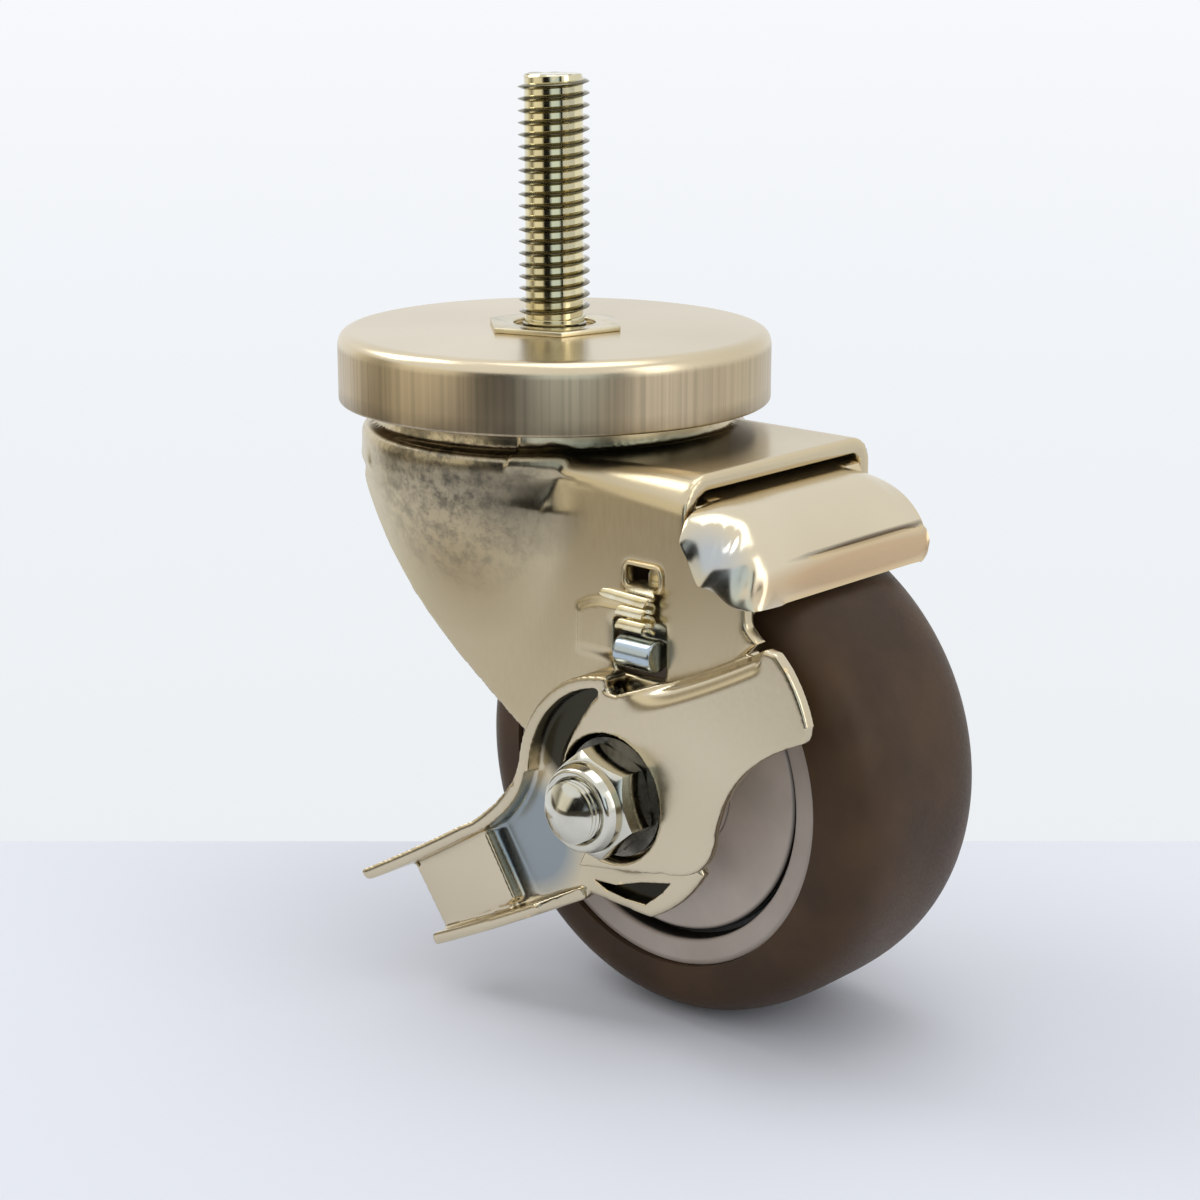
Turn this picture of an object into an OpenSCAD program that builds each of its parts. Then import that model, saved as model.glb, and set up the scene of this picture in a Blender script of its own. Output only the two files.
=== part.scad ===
// Stem castor with a pressed steel fork, a soft tread wheel and a side lever brake.
// The origin is on the swivel axis, at the top face of the raceway cap.
// +X is the side that the wheel trails to, -Y is the lever side, +Z is up the stem.

/* [Stem] */
// Outside diameter of the stem's thread
stem_d = 11.1; // [8:0.1:13]
// Length of the stem above its washer
stem_length = 38.1; // [20:0.1:60]
// Bevel at the stem's tip
stem_bevel = 1.0; // [0.2:0.1:2]
// Width across flats of the thin hexagonal washer
washer_af = 19.6; // [15:0.1:24]
// Thickness of the thin hexagonal washer
washer_t = 0.8; // [0.5:0.1:2]
// Gap between the stem and the hole of its washer
washer_gap = 0.9; // [0.8:0.05:1.5]
// Diameter of the king pin below the stem
kingpin_d = 10; // [8:0.1:11]
// Diameter of the king pin's riveted end
rivet_d = 8; // [5:0.1:9]
// Diameter of the peened head under the lower race
rivet_head_d = 13; // [10:0.1:16]
// Height of the peened head
rivet_head_h = 2.2; // [1:0.1:4]

/* [Raceway cap] */
// Outside diameter of the cap
cap_d = 68; // [60:0.5:80]
// Height of the cap
cap_h = 11; // [9:0.1:14]
// Sheet thickness of the cap
cap_wall = 2.2; // [1.5:0.1:3]
// Outer radius of the cap's rolled top edge
cap_edge_r = 2.2; // [1:0.1:3]

/* [Swivel bearing] */
// Diameter of the balls between cap and fork
upper_ball_d = 5.5; // [4.5:0.1:6]
// Pitch circle diameter of the upper balls
upper_ball_pcd = 48; // [40:0.5:50]
// Number of upper balls
upper_ball_count = 22; // [8:1:25]
// Diameter of the balls under the fork's crown
lower_ball_d = 4; // [3:0.1:5]
// Pitch circle diameter of the lower balls
lower_ball_pcd = 21; // [20:0.5:24]
// Number of lower balls
lower_ball_count = 12; // [6:1:13]
// Depth of each ball groove
groove_depth = 0.7; // [0.3:0.05:1]
// Running gap between a ball and its groove
ball_gap = 0.06; // [0.03:0.01:0.1]
// Outside diameter of the lower race cup
race_cup_d = 32; // [28:0.5:36]
// Sheet thickness of the lower race cup
race_cup_t = 2; // [1.5:0.1:3]

/* [Fork] */
// Sheet thickness of the fork
fork_t = 2.5; // [2:0.1:3]
// Width across the outside of the fork's legs
fork_w = 44; // [43.4:0.1:48]
// Diameter of the raised crown inside the cap
crown_d = 56; // [54:0.5:60]
// Diameter of the dished shoulder below the cap
dish_d = 61; // [59:0.5:66]
// Depth of the dished shoulder below the cap's top
dish_drop = 14.4; // [13:0.1:18]
// Depth of the dish's side wall
dish_wall_h = 5.6; // [3:0.1:8]
// Distance from the swivel axis to the end of the hood
hood_length = 45.5; // [42:0.5:50]
// Outer radius of the hood's folds
hood_fold_r = 4; // [3:0.1:6]
// Depth of the hood's side wall at its end
hood_wall_h = 7.6; // [5:0.1:9]
// Radius of the leg's end round the axle
leg_end_r = 13.5; // [11:0.5:16]
// Diameter of the hole in the fork's crown
crown_hole_d = 12; // [11.4:0.1:16]

/* [Wheel] */
// Distance of the axle behind the swivel axis
trail = 35.7; // [33:0.1:38]
// Depth of the axle below the cap's top
axle_drop = 62.7; // [61:0.1:66]
// Diameter of the wheel over its tread
wheel_d = 76.2; // [70:0.1:76.4]
// Width of the tread
tread_w = 31.8; // [28:0.1:33]
// Diameter at which the tread meets the core
core_d = 58; // [54:0.5:62]
// Width of the core at its rim
core_w = 30.3; // [26:0.1:31]
// Width of the ring that shows outside the hub cover's groove
ring_w = 4.1; // [3:0.1:6]
// Width of the dark groove round each hub cover
groove_w = 0.9; // [0.5:0.1:2]
// Depth of that groove
groove_h = 3.5; // [2:0.1:5]
// Depth of the hub cover's face below the ring
cover_drop = 1.4; // [0.5:0.1:3]
// Thickness of each hub cover
cover_t = 1.2; // [0.8:0.1:2]
// Diameter of the core's hub
hub_d = 24; // [20:0.5:30]
// Gap between each bearing's flange and the leg
hub_play = 0.9; // [0.3:0.1:2]
// Curve of the tread's crown, larger is squarer
crown_power = 3.46; // [2:0.1:5]

/* [Axle] */
// Diameter of the axle bolt
axle_d = 9.4; // [7:0.1:9.6]
// Outside diameter of the axle sleeve
sleeve_d = 13; // [12:0.1:14]
// Outside diameter of the wheel's plain bearing
bush_d = 17; // [16:0.1:20]
// Diameter of the plain bearing's flange
bush_flange_d = 21; // [20:0.5:24]
// Thickness of the plain bearing's flange
bush_flange_t = 1.6; // [1:0.1:2]
// Running gap on every shaft and journal, measured on the radius
running_gap = 0.06; // [0.02:0.01:0.1]
// Width across flats of the axle nut and of the bolt's head
nut_af = 14.3; // [12:0.1:16]
// Height of the axle nut
nut_h = 8.5; // [6:0.1:10]
// Height of the bolt's head
head_h = 6; // [4:0.1:8]
// How far the bolt's domed end stands out of the nut
bolt_end = 3.2; // [1:0.1:5]
// Thickness of the washer under the bolt's head
axle_washer_t = 1.5; // [1:0.1:2.5]
// Diameter of that washer
axle_washer_d = 20; // [16:0.5:24]

/* [Brake lever] */
// Sheet thickness of the lever
lever_t = 2; // [1.5:0.1:2.5]
// Step between the lever's inner and outer level
lever_step = 2.9; // [2.6:0.1:4]
// Diameter of the bush that the lever turns on
lever_bush_d = 14; // [12:0.1:15]
// Diameter of the bush's flange
lever_flange_d = 18; // [16:0.1:19]
// Diameter of the round well that the axle nut stands in
well_d = 19.5; // [19.2:0.1:22]
// Outer radius of the lever's cupped rim
cup_r = 18.4; // [17:0.1:19]
// Gap between the lever and the pieces beside it
side_gap = 0.3; // [0.2:0.05:0.6]
// How far the pedal's upper flange stands out at its tip
pedal_flange = 10.8; // [6:0.1:12]
// How far the pedal's lower flange stands out
pedal_lip = 3; // [1:0.1:4]

/* [Brake shoe] */
// Sheet thickness of the shoe
shoe_t = 1.8; // [1.4:0.1:2]
// Distance of the shoe's pivot behind the axle
pivot_back = 4.3; // [2:0.1:5]
// Depth of the shoe's pivot below the cap's top
pivot_drop = 21; // [20.6:0.1:21.5]
// Diameter of the shoe's two pivot studs
stud_d = 4.8; // [4:0.1:5]
// Distance of the shoe's lip behind the axle
lip_back = 23.3; // [22:0.1:25]
// Height of the lip's lower edge over the axle
lip_rise = 32.1; // [31.8:0.1:34]
// Gap between the shoe and the tread while the brake is off
brake_gap = 1.5; // [1.4:0.1:3]
// Outer radius of the shoe's near fold
shoe_fold_r = 5.4; // [3:0.1:6]
// Diameter of the rolled tab at the end of the shoe's arm
tab_d = 5; // [4:0.1:5.6]
// Length of the rolled tab
tab_length = 7; // [5:0.1:8]
// Width of the spring strip
spring_w = 5; // [3:0.1:6]
// Thickness of the spring strip
spring_t = 0.8; // [0.5:0.1:1.2]
// Number of folds in the spring strip
spring_folds = 3; // [2:1:5]

/* [Hidden] */
$fn = 96;
eps = 0.01;

// Heights in the swivel bearing, from the cap down
upper_r = upper_ball_d / 2;
lower_r = lower_ball_d / 2;
upper_z = -cap_wall + groove_depth - upper_r - ball_gap;
crown_top = upper_z - upper_r - ball_gap + groove_depth;
crown_under = crown_top - fork_t;
lower_z = crown_under + groove_depth - lower_r - ball_gap;
race_top = lower_z - lower_r - ball_gap + groove_depth;
race_under = race_top - race_cup_t;

// Planes across the castor
leg_out = fork_w / 2;
leg_in = leg_out - fork_t;
dish_top = -dish_drop;
roof_under = dish_top - fork_t;
dish_r = dish_d / 2;
axle_z = -axle_drop;
pivot_x = trail + pivot_back;
lip_x = trail + lip_back;
lip_foot = axle_z + lip_rise;
web_out = leg_out + side_gap + lever_t;
flange_in = web_out + side_gap;
flange_out = flange_in + 1.5;
plate_out = web_out + lever_step;
nut_out = flange_out + nut_h;
cover_out = core_w / 2 - cover_drop;
hub_w = 2 * (leg_in - hub_play - bush_flange_t);

// Colours
zinc = "#c9bfa8";
bright_zinc = "#d9dcd8";
yellow_zinc = "#cdbf8a";
dark_steel = "#8a8a86";
rubber_brown = "#50443b";
core_grey = "#a59a90";

// Points on a curve from a to c that is pulled towards b
function bend(a, b, c, n = 8) = [for (i = [0:n]) let (t = i / n)
    (1 - t) * (1 - t) * a + 2 * t * (1 - t) * b + t * t * c];

// Points on an arc in the plane, angles in degrees
function arc(centre, r, from, to, n = 10) = [for (i = [0:n]) let (a = from + (to - from) * i / n)
    centre + r * [cos(a), sin(a)]];

// A line of points thickened by one vector, as an outline
module band(line, thick) {
    n = len(line);
    polygon(concat(line, [for (i = [n - 1:-1:0]) line[i] + thick]));
}

// Fills the band of y from y_high - t to y_high with an outline drawn in x and z
module side_sheet(y_high, t) {
    translate([0, y_high, 0]) rotate([90, 0, 0]) linear_extrude(t) children();
}

// The same band on the lever side: out is how far its outer face lies from the middle
module near_sheet(out, t) {
    side_sheet(t - out, t) children();
}

// A round bar along y from y_low to y_high
module cross_bar(x, z, r, y_low, y_high) {
    translate([x, y_high, z]) rotate([90, 0, 0]) cylinder(r = r, h = y_high - y_low);
}

// A hexagonal bar along y from y_low to y_high
module cross_hex(x, z, af, y_low, y_high) {
    translate([x, y_high, z]) rotate([90, 0, 0]) rotate(30)
        cylinder(d = af / cos(30), h = y_high - y_low, $fn = 6);
}

// A ring-shaped groove that seats a row of balls
module ball_groove(pcd, z, r) {
    translate([0, 0, z]) rotate_extrude() translate([pcd / 2, 0]) circle(r = r + ball_gap);
}

// A row of balls on its pitch circle
module ball_row(pcd, z, r, count) {
    for (i = [0:count - 1])
        rotate(i * 360 / count) translate([pcd / 2, 0, z]) sphere(r = r);
}

// Stem, king pin and peened head in one piece. The thread is left plain at its outside diameter.
module threaded_stem() {
    tip = washer_t + stem_length;
    head_bevel = rivet_head_h * 0.4;
    color(yellow_zinc) rotate_extrude() polygon([
        [0, tip], [stem_d / 2 - stem_bevel, tip], [stem_d / 2, tip - stem_bevel], [stem_d / 2, 0],
        [kingpin_d / 2, 0], [kingpin_d / 2, race_top], [rivet_d / 2, race_top],
        [rivet_d / 2, race_under], [rivet_head_d / 2, race_under],
        [rivet_head_d / 2 - head_bevel, race_under - rivet_head_h + head_bevel],
        [rivet_d / 2, race_under - rivet_head_h], [0, race_under - rivet_head_h]]);
}

module stem_washer() {
    color(yellow_zinc) difference() {
        cylinder(d = washer_af / cos(30), h = washer_t, $fn = 6);
        translate([0, 0, -eps]) cylinder(d = stem_d + 2 * washer_gap, h = washer_t + 2 * eps);
    }
}

// Turned-down cap that covers the upper row of balls
module raceway_cap() {
    r = cap_d / 2;
    color(zinc) difference() {
        rotate_extrude() difference() {
            union() {
                translate([0, -cap_h]) square([r, cap_h - cap_edge_r]);
                translate([0, -cap_edge_r]) square([r - cap_edge_r, cap_edge_r]);
                translate([r - cap_edge_r, -cap_edge_r]) circle(r = cap_edge_r);
            }
            translate([-1, -cap_h - 1]) square([r - cap_wall + 1, cap_h - cap_wall + 1]);
        }
        translate([0, 0, -cap_wall - eps]) cylinder(d = kingpin_d, h = cap_wall + 2 * eps);
        ball_groove(upper_ball_pcd, upper_z, upper_r);
    }
}

// Cup riveted to the king pin that carries the lower row of balls
module lower_race_cup() {
    r = race_cup_d / 2;
    rim_h = lower_ball_d * 0.55;
    color(dark_steel) difference() {
        union() {
            translate([0, 0, race_under]) cylinder(r = r, h = race_cup_t);
            translate([0, 0, race_top - eps]) difference() {
                cylinder(r = r, h = rim_h);
                translate([0, 0, -eps]) cylinder(r = r - race_cup_t, h = rim_h + 3 * eps);
            }
        }
        translate([0, 0, race_under - eps]) cylinder(d = rivet_d, h = race_cup_t + 2 * eps);
        ball_groove(lower_ball_pcd, lower_z, lower_r);
    }
}

module upper_balls() {
    color(bright_zinc) ball_row(upper_ball_pcd, upper_z, upper_r, upper_ball_count);
}

module lower_balls() {
    color(bright_zinc) ball_row(lower_ball_pcd, lower_z, lower_r, lower_ball_count);
}

// Side outline of a fork leg in x and z. The near leg runs on behind the lever as a wing.
front_top = [-18.4, -23.7];
front_low = [14.4, -58.8];
wing_tip = [58.8, -35.9];
module leg_outline(wing) {
    hood_foot = [hood_length, dish_top - hood_wall_h];
    rear = wing
        ? concat([hood_foot], bend([46.3, -23.8], [52.5, -25.6], [56.3, -29.6], 5), [[56.6, -34]],
            [wing_tip], bend(wing_tip, [50, -45], [48.6, -57], 6))
        : concat([hood_foot], bend([hood_length - 2, -24], [42, -40], [48.6, -57], 8));
    union() {
        polygon(concat(
            [[trail + 10, axle_z - 2], [trail - 8.5, axle_z - 8.5]],
            bend(front_low, [-9.6, -43.7], front_top, 12),
            [[front_top[0], dish_top - 1], [hood_length, dish_top - 1]],
            rear));
        translate([trail, axle_z]) circle(r = leg_end_r);
    }
}

// Section of the bowl that leads from the dish down to a leg
bowl_low = -44;
bowl_mid = -27;
module bowl_section() {
    top = roof_under;
    polygon(concat(
        bend([dish_r, top], [dish_r - 1, bowl_mid], [leg_out, bowl_low], 8),
        bend([leg_in, bowl_low], [dish_r - fork_t - 1, bowl_mid], [dish_r - fork_t, top], 8)));
}

// Section of the crown and of the dished shoulder round it
module crown_section() {
    cr = crown_d / 2;
    edge = 1.5;
    translate([0, crown_under]) square([cr - edge, fork_t]);
    translate([cr - edge, crown_top - edge]) circle(r = edge);
    translate([cr - fork_t, roof_under]) square([fork_t, crown_top - roof_under - edge]);
    translate([cr - fork_t, roof_under]) square([dish_r - cr + fork_t - edge, fork_t]);
    translate([dish_r - edge, dish_top - edge]) circle(r = edge);
    translate([dish_r - fork_t, roof_under]) square([fork_t, fork_t - edge]);
}

// Section of the free space inside the crown, the dish and the bowl
module hollow_section() {
    inner = crown_d / 2 - fork_t;
    polygon(concat([[0, bowl_low], [0, crown_under], [inner, crown_under], [inner, roof_under]],
        bend([dish_r - fork_t, roof_under], [dish_r - fork_t - 1, bowl_mid], [leg_in, bowl_low], 8)));
}

// One window of the near leg, with round corners
module window(x, z, w, h, r) {
    for (dx = [r, w - r], dz = [r, h - r])
        translate([x + dx, z + dz]) circle(r = r, $fn = 24);
    translate([x + r, z]) square([w - 2 * r, h]);
    translate([x, z + r]) square([w, h - 2 * r]);
}

// Where the spring hooks in, and where the shoe's tab comes out
hook_x = 34.4;
hook_z = -31.6;
hook_w = 6.6;
hook_h = 3.4;
tab_x = 34.4;
tab_z = -41;
window_play = 2.2;
window_h = 8.4;

module leg_windows() {
    near_sheet(leg_out + 1, fork_t + 2) window(hook_x, hook_z, hook_w, hook_h, 0.8);
    near_sheet(leg_out + 1, fork_t + 2)
        window(tab_x - window_play, tab_z - tab_d / 2 - 1.4, tab_length + window_play + 0.6, window_h, 0.8);
}

// U-shaped section of the hood in y and z, folded from one sheet
module hood_section(half, r) {
    low = roof_under - hood_wall_h + fork_t;
    translate([-half, low - 10]) square([2 * half, dish_top - (leg_out - half) - r - low + 10]);
    translate([-half + r, low - 10]) square([2 * (half - r), dish_top - (leg_out - half) - low + 10]);
    for (s = [-1, 1])
        translate([s * (half - r), dish_top - (leg_out - half) - r]) circle(r = r);
}

// Hood and both legs as one folded sheet, before the crown's hollow is cut out
module folded_sheet() {
    hood_start = 8;
    hood_low = dish_top - hood_wall_h;
    intersection() {
        translate([hood_start, 0, 0]) rotate([90, 0, 90]) linear_extrude(hood_length - hood_start)
            difference() {
                hood_section(leg_out, hood_fold_r);
                hood_section(leg_in, hood_fold_r - fork_t);
            }
        translate([0, -leg_out - 1, hood_low]) cube([hood_length, fork_w + 2, hood_wall_h + 1]);
    }
    intersection() {
        union() {
            near_sheet(leg_out, fork_t) leg_outline(true);
            side_sheet(leg_out, fork_t) leg_outline(false);
        }
        translate([-100, -leg_out, -axle_drop * 2]) cube([200, fork_w, axle_drop * 2 + dish_top - hood_fold_r]);
    }
}

// Walls of the dish: a short skirt in front and a bowl down to each leg
module dish_walls() {
    intersection() {
        translate([0, 0, dish_top - dish_wall_h]) difference() {
            cylinder(r = dish_r, h = dish_wall_h - fork_t + eps);
            translate([0, 0, -eps]) cylinder(r = dish_r - fork_t, h = dish_wall_h);
        }
        translate([-2 * dish_r, -dish_r, dish_top - 20]) cube([2 * dish_r + front_top[0] + 4, 2 * dish_r, 20]);
    }
    intersection() {
        rotate_extrude() bowl_section();
        union() {
            side_sheet(-leg_in, dish_r) leg_outline(false);
            side_sheet(leg_in + dish_r, dish_r) leg_outline(false);
        }
    }
}

// The fork: crown, dish, hood and both legs are one pressed sheet
module fork() {
    color(zinc) difference() {
        union() {
            rotate_extrude() crown_section();
            difference() {
                folded_sheet();
                rotate_extrude() hollow_section();
            }
            dish_walls();
        }
        leg_windows();
        translate([0, 0, crown_under - eps]) cylinder(d = crown_hole_d, h = fork_t + 2 * eps);
        ball_groove(upper_ball_pcd, upper_z, upper_r);
        ball_groove(lower_ball_pcd, lower_z, lower_r);
        cross_bar(trail, axle_z, axle_d / 2 + running_gap, -leg_out - 1, leg_out + 1);
        for (s = [-1, 1])
            cross_bar(pivot_x, -pivot_drop, stud_d / 2 + running_gap,
                s * (leg_in + 0.6) - 1, s * (leg_in + 0.6) + 1);
    }
}

// Axle bolt with its head on the far side and a domed end at the nut
module axle_bolt() {
    head_y = leg_out + axle_washer_t;
    tip_y = -nut_out - bolt_end;
    r = axle_d / 2;
    dome = 1.6;
    color(bright_zinc) union() {
        cross_bar(trail, axle_z, r, tip_y + dome, head_y + eps);
        translate([trail, tip_y + dome, axle_z]) rotate([90, 0, 0]) rotate_extrude() polygon(concat(
            [[0, 0]], [for (a = [0:15:90]) [r * cos(a), dome * sin(a)]]));
        intersection() {
            cross_hex(trail, axle_z, nut_af, head_y, head_y + head_h);
            translate([trail, head_y, axle_z]) rotate([-90, 0, 0])
                cylinder(r1 = nut_af * 0.8, r2 = nut_af / 2 * 0.98, h = head_h + eps);
        }
    }
}

module axle_washer() {
    color(bright_zinc) difference() {
        cross_bar(trail, axle_z, axle_washer_d / 2, leg_out, leg_out + axle_washer_t);
        cross_bar(trail, axle_z, axle_d / 2 + running_gap, leg_out - 1, leg_out + axle_washer_t + 1);
    }
}

module axle_nut() {
    color(bright_zinc) difference() {
        intersection() {
            cross_hex(trail, axle_z, nut_af, -nut_out, -flange_out);
            translate([trail, -flange_out, axle_z]) rotate([90, 0, 0])
                cylinder(r1 = nut_af * 0.9, r2 = nut_af / 2 * 0.98, h = nut_h + eps);
        }
        cross_bar(trail, axle_z, axle_d / 2, -nut_out - 1, -flange_out + 1);
    }
}

module axle_sleeve() {
    color(dark_steel) difference() {
        cross_bar(trail, axle_z, sleeve_d / 2, -leg_in, leg_in);
        cross_bar(trail, axle_z, axle_d / 2 + running_gap, -leg_in - 1, leg_in + 1);
    }
}

// Shouldered bush that the brake lever turns on
module lever_bush() {
    color(dark_steel) difference() {
        union() {
            cross_bar(trail, axle_z, lever_bush_d / 2, -flange_in, -leg_out);
            cross_bar(trail, axle_z, lever_flange_d / 2, -flange_out, -flange_in);
        }
        cross_bar(trail, axle_z, axle_d / 2 + running_gap, -flange_out - 1, -leg_out + 1);
    }
}

// Flat strip folded to and fro between the hook window and the shoe's tab
module return_spring() {
    tongue_t = 0.6;
    tongue_end = -leg_in - 0.2;
    top = hook_z + tongue_t;
    low = tab_z + tab_d / 2 + side_gap;
    folds = 2 * spring_folds;
    near = leg_out + 0.3;
    far = leg_out + 2.2;
    step = (top - low) / folds;
    line = [for (i = [0:folds]) [(i % 2 == 0) ? -near : -far, top - i * step]];
    inner = [for (i = [folds:-1:1]) line[i]];
    color(yellow_zinc) translate([hook_x + 0.8, 0, 0]) rotate([90, 0, 90]) linear_extrude(spring_w)
        polygon(concat([[tongue_end, top]], [for (p = line) p - [spring_t, 0]], inner,
            [[-near - (far - near) * tongue_t / step, hook_z], [tongue_end, hook_z]]));
}

// Section of the tread: a crown that rolls over into flat sides
module tread() {
    half = tread_w / 2;
    inner = core_d / 2;
    rise = wheel_d / 2 - inner;
    steps = 14;
    crown = [for (i = [-steps:steps]) let (u = sin(90 * i / steps))
        [inner + rise * pow(1 - pow(abs(u), crown_power), 1 / crown_power), u * half]];
    color(rubber_brown) translate([trail, 0, axle_z]) rotate([90, 0, 0]) rotate_extrude()
        polygon(concat([[inner, core_w / 2], [inner, -core_w / 2]], crown));
}

module wheel_core() {
    rim = core_d / 2;
    groove_out = rim - ring_w;
    groove_in = groove_out - groove_w;
    cover_seat = cover_out - cover_t;
    half = core_w / 2;
    color(core_grey) translate([trail, 0, axle_z]) rotate([90, 0, 0]) rotate_extrude() difference() {
        union() {
            translate([bush_d / 2, -half]) square([rim - bush_d / 2, core_w]);
            translate([bush_d / 2, -hub_w / 2]) square([(hub_d - bush_d) / 2, hub_w]);
        }
        for (s = [0, 1]) mirror([0, s]) {
            translate([hub_d / 2, cover_seat]) square([groove_out - hub_d / 2, half]);
            translate([groove_in, half - groove_h]) square([groove_w, groove_h]);
        }
    }
}

// Flanged plain bearing pressed into one end of the core
module flanged_bush(s) {
    color("#e8e4da") translate([trail, 0, axle_z]) rotate([s * 90, 0, 0]) difference() {
        union() {
            translate([0, 0, 3]) cylinder(d = bush_d, h = hub_w / 2 - 3 + eps);
            translate([0, 0, hub_w / 2]) cylinder(d = bush_flange_d, h = bush_flange_t);
        }
        cylinder(r = sleeve_d / 2 + running_gap, h = hub_w);
    }
}

module near_bush() {
    flanged_bush(1);
}

module far_bush() {
    flanged_bush(-1);
}

// Thin disc that closes one face of the core
module hub_cover(s) {
    edge = core_d / 2 - ring_w - groove_w;
    color("#8f857c") translate([trail, 0, axle_z]) rotate([s * 90, 0, 0])
        translate([0, 0, cover_out - cover_t]) difference() {
            cylinder(r = edge, h = cover_t);
            translate([0, 0, -1]) cylinder(d = hub_d, h = cover_t + 2);
        }
}

module near_hub_cover() {
    hub_cover(1);
}

module far_hub_cover() {
    hub_cover(-1);
}

// A point of the lever, given from the axle in x and z, at the size of its cup
lever_size = cup_r / 18.4;
function lever_at(x, z) = [trail, axle_z] + lever_size * [x, z];

// Outline of the lever's outer level: round the axle and out to the rear arm
module lever_plate_outline() {
    polygon(concat(
        bend(lever_at(-9.8, 2), lever_at(-8, 9), lever_at(-1.6, 16.3), 6),
        bend(lever_at(2, 15.9), lever_at(16, 21), lever_at(28.5, 28.2), 6),
        bend(lever_at(30.4, 27.9), lever_at(34.5, 24), lever_at(36, 18.5), 6),
        bend(lever_at(35.5, 16.1), lever_at(23, 11), lever_at(20.2, 0.9), 8),
        bend(lever_at(19.7, -0.9), lever_at(19.5, -9), lever_at(9.9, -9.2), 8),
        bend(lever_at(9, -9.6), lever_at(-2, -11.5), lever_at(-6.2, -12.1), 4),
        [lever_at(-4, -8)]));
}

// Outline of the lever's inner level: the cupped disc and the root of the pedal
module lever_web_outline() {
    polygon(concat(
        arc([trail, axle_z], cup_r - 1, 98, 184, 14),
        [lever_at(-20, -7), lever_at(-27, -12.5), lever_at(-21, -21.2)],
        bend(lever_at(-11.2, -18.4), lever_at(-8, -16.6), lever_at(-6, -17.4), 4),
        bend(lever_at(5.5, -18.2), lever_at(12, -15), lever_at(15.6, -9), 6),
        [lever_at(9, 2)]));
}

// Outline of the pedal's floor beyond the step
module pedal_outline() {
    polygon([lever_at(-25.6, -11.2), lever_at(-41, -21.2), lever_at(-34.6, -29.7),
        lever_at(-26.8, -25.5), lever_at(-19.2, -21)]);
}

// Line of the pedal's upper edge from the rim of the cup to its tip
function pedal_top() = concat(
    bend(lever_at(-17.2, 0.4), lever_at(-18.4, -5.6), lever_at(-24.6, -10.6), 6),
    bend(lever_at(-26.4, -11.6), lever_at(-34, -16.6), lever_at(-41.6, -20.8), 4));

// Line of the pedal's lower edge from its tip to the root
function pedal_low() = bend(lever_at(-34.6, -29.9), lever_at(-24, -25), lever_at(-7.4, -16.4), 8);

// Line of the step between the lever's two levels across the pedal
function pedal_step() = [lever_at(-27, -12.6), lever_at(-20, -21.6)];

// The brake lever: cupped hub, rear arm and channel-shaped pedal from one sheet
module brake_lever() {
    axle = [trail, axle_z];
    wall_r = well_d / 2 + lever_t;
    full = lever_step + lever_t;
    top_line = bend(lever_at(2.2, 14.4), lever_at(16, 19.4), lever_at(24.6, 24.6), 6);
    u = lever_size;
    color(zinc) difference() {
        union() {
            // inner level with its bore
            near_sheet(web_out, lever_t) difference() {
                union() {
                    lever_web_outline();
                    translate(axle) circle(r = wall_r);
                }
                translate(axle) circle(r = lever_bush_d / 2 + running_gap);
            }
            // wall of the round well, open towards the pedal
            near_sheet(plate_out - lever_t + eps, lever_step - lever_t + 2 * eps) difference() {
                translate(axle) circle(r = wall_r);
                translate(axle) circle(r = well_d / 2);
                translate(axle + [-30, -30]) square([24, 28]);
            }
            // outer level
            near_sheet(plate_out, lever_t) difference() {
                lever_plate_outline();
                translate(axle) circle(r = well_d / 2);
            }
            // cupped rim
            near_sheet(plate_out, full) intersection() {
                difference() {
                    translate(axle) circle(r = cup_r);
                    translate(axle) circle(r = cup_r - lever_t);
                }
                polygon(concat([axle], arc(axle, cup_r * 1.4, 92, 179, 8)));
            }
            // flange turned in along the top of the rear arm
            near_sheet(plate_out, full) band(top_line, [-0.6, 1.9]);
            // step across the pedal and the pedal's floor beyond it
            near_sheet(plate_out, full) band(pedal_step(), [-2, -1.2]);
            near_sheet(plate_out, lever_t) pedal_outline();
            // upper flange, rising to the tip
            intersection() {
                near_sheet(plate_out + pedal_flange, pedal_flange + full) band(pedal_top(), [-1.1, 1.6]);
                translate([0, 0, axle_z - 50]) linear_extrude(80) polygon([
                    [trail - 12 * u, lever_t - web_out], [trail - 12 * u, -plate_out],
                    [trail - 19 * u, -plate_out], [trail - 24 * u, -plate_out - pedal_flange * 0.2],
                    [trail - 43.6 * u, -plate_out - pedal_flange], [trail - 43.6 * u, lever_t - plate_out],
                    [trail - 25 * u, lever_t - plate_out], [trail - 22 * u, lever_t - web_out]]);
            }
            // lower flange, fading out at both ends
            intersection() {
                near_sheet(plate_out + pedal_lip, pedal_lip + full) band(pedal_low(), [0.8, -1.7]);
                translate([0, 0, axle_z - 50]) linear_extrude(80) polygon([
                    [trail - 40 * u, lever_t - plate_out], [trail - 40 * u, -plate_out - pedal_lip],
                    [trail - 22 * u, -plate_out - pedal_lip], [trail - 6 * u, -plate_out],
                    [trail - 6 * u, lever_t - web_out], [trail - 18 * u, lever_t - web_out],
                    [trail - 22 * u, lever_t - plate_out]]);
            }
        }
        // keeps the bush and the nut free
        cross_bar(trail, axle_z, lever_bush_d / 2 + running_gap, -web_out - eps, -leg_out);
        cross_bar(trail, axle_z, lever_flange_d / 2 + side_gap, -plate_out - 1, -web_out);
    }
}

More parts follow.
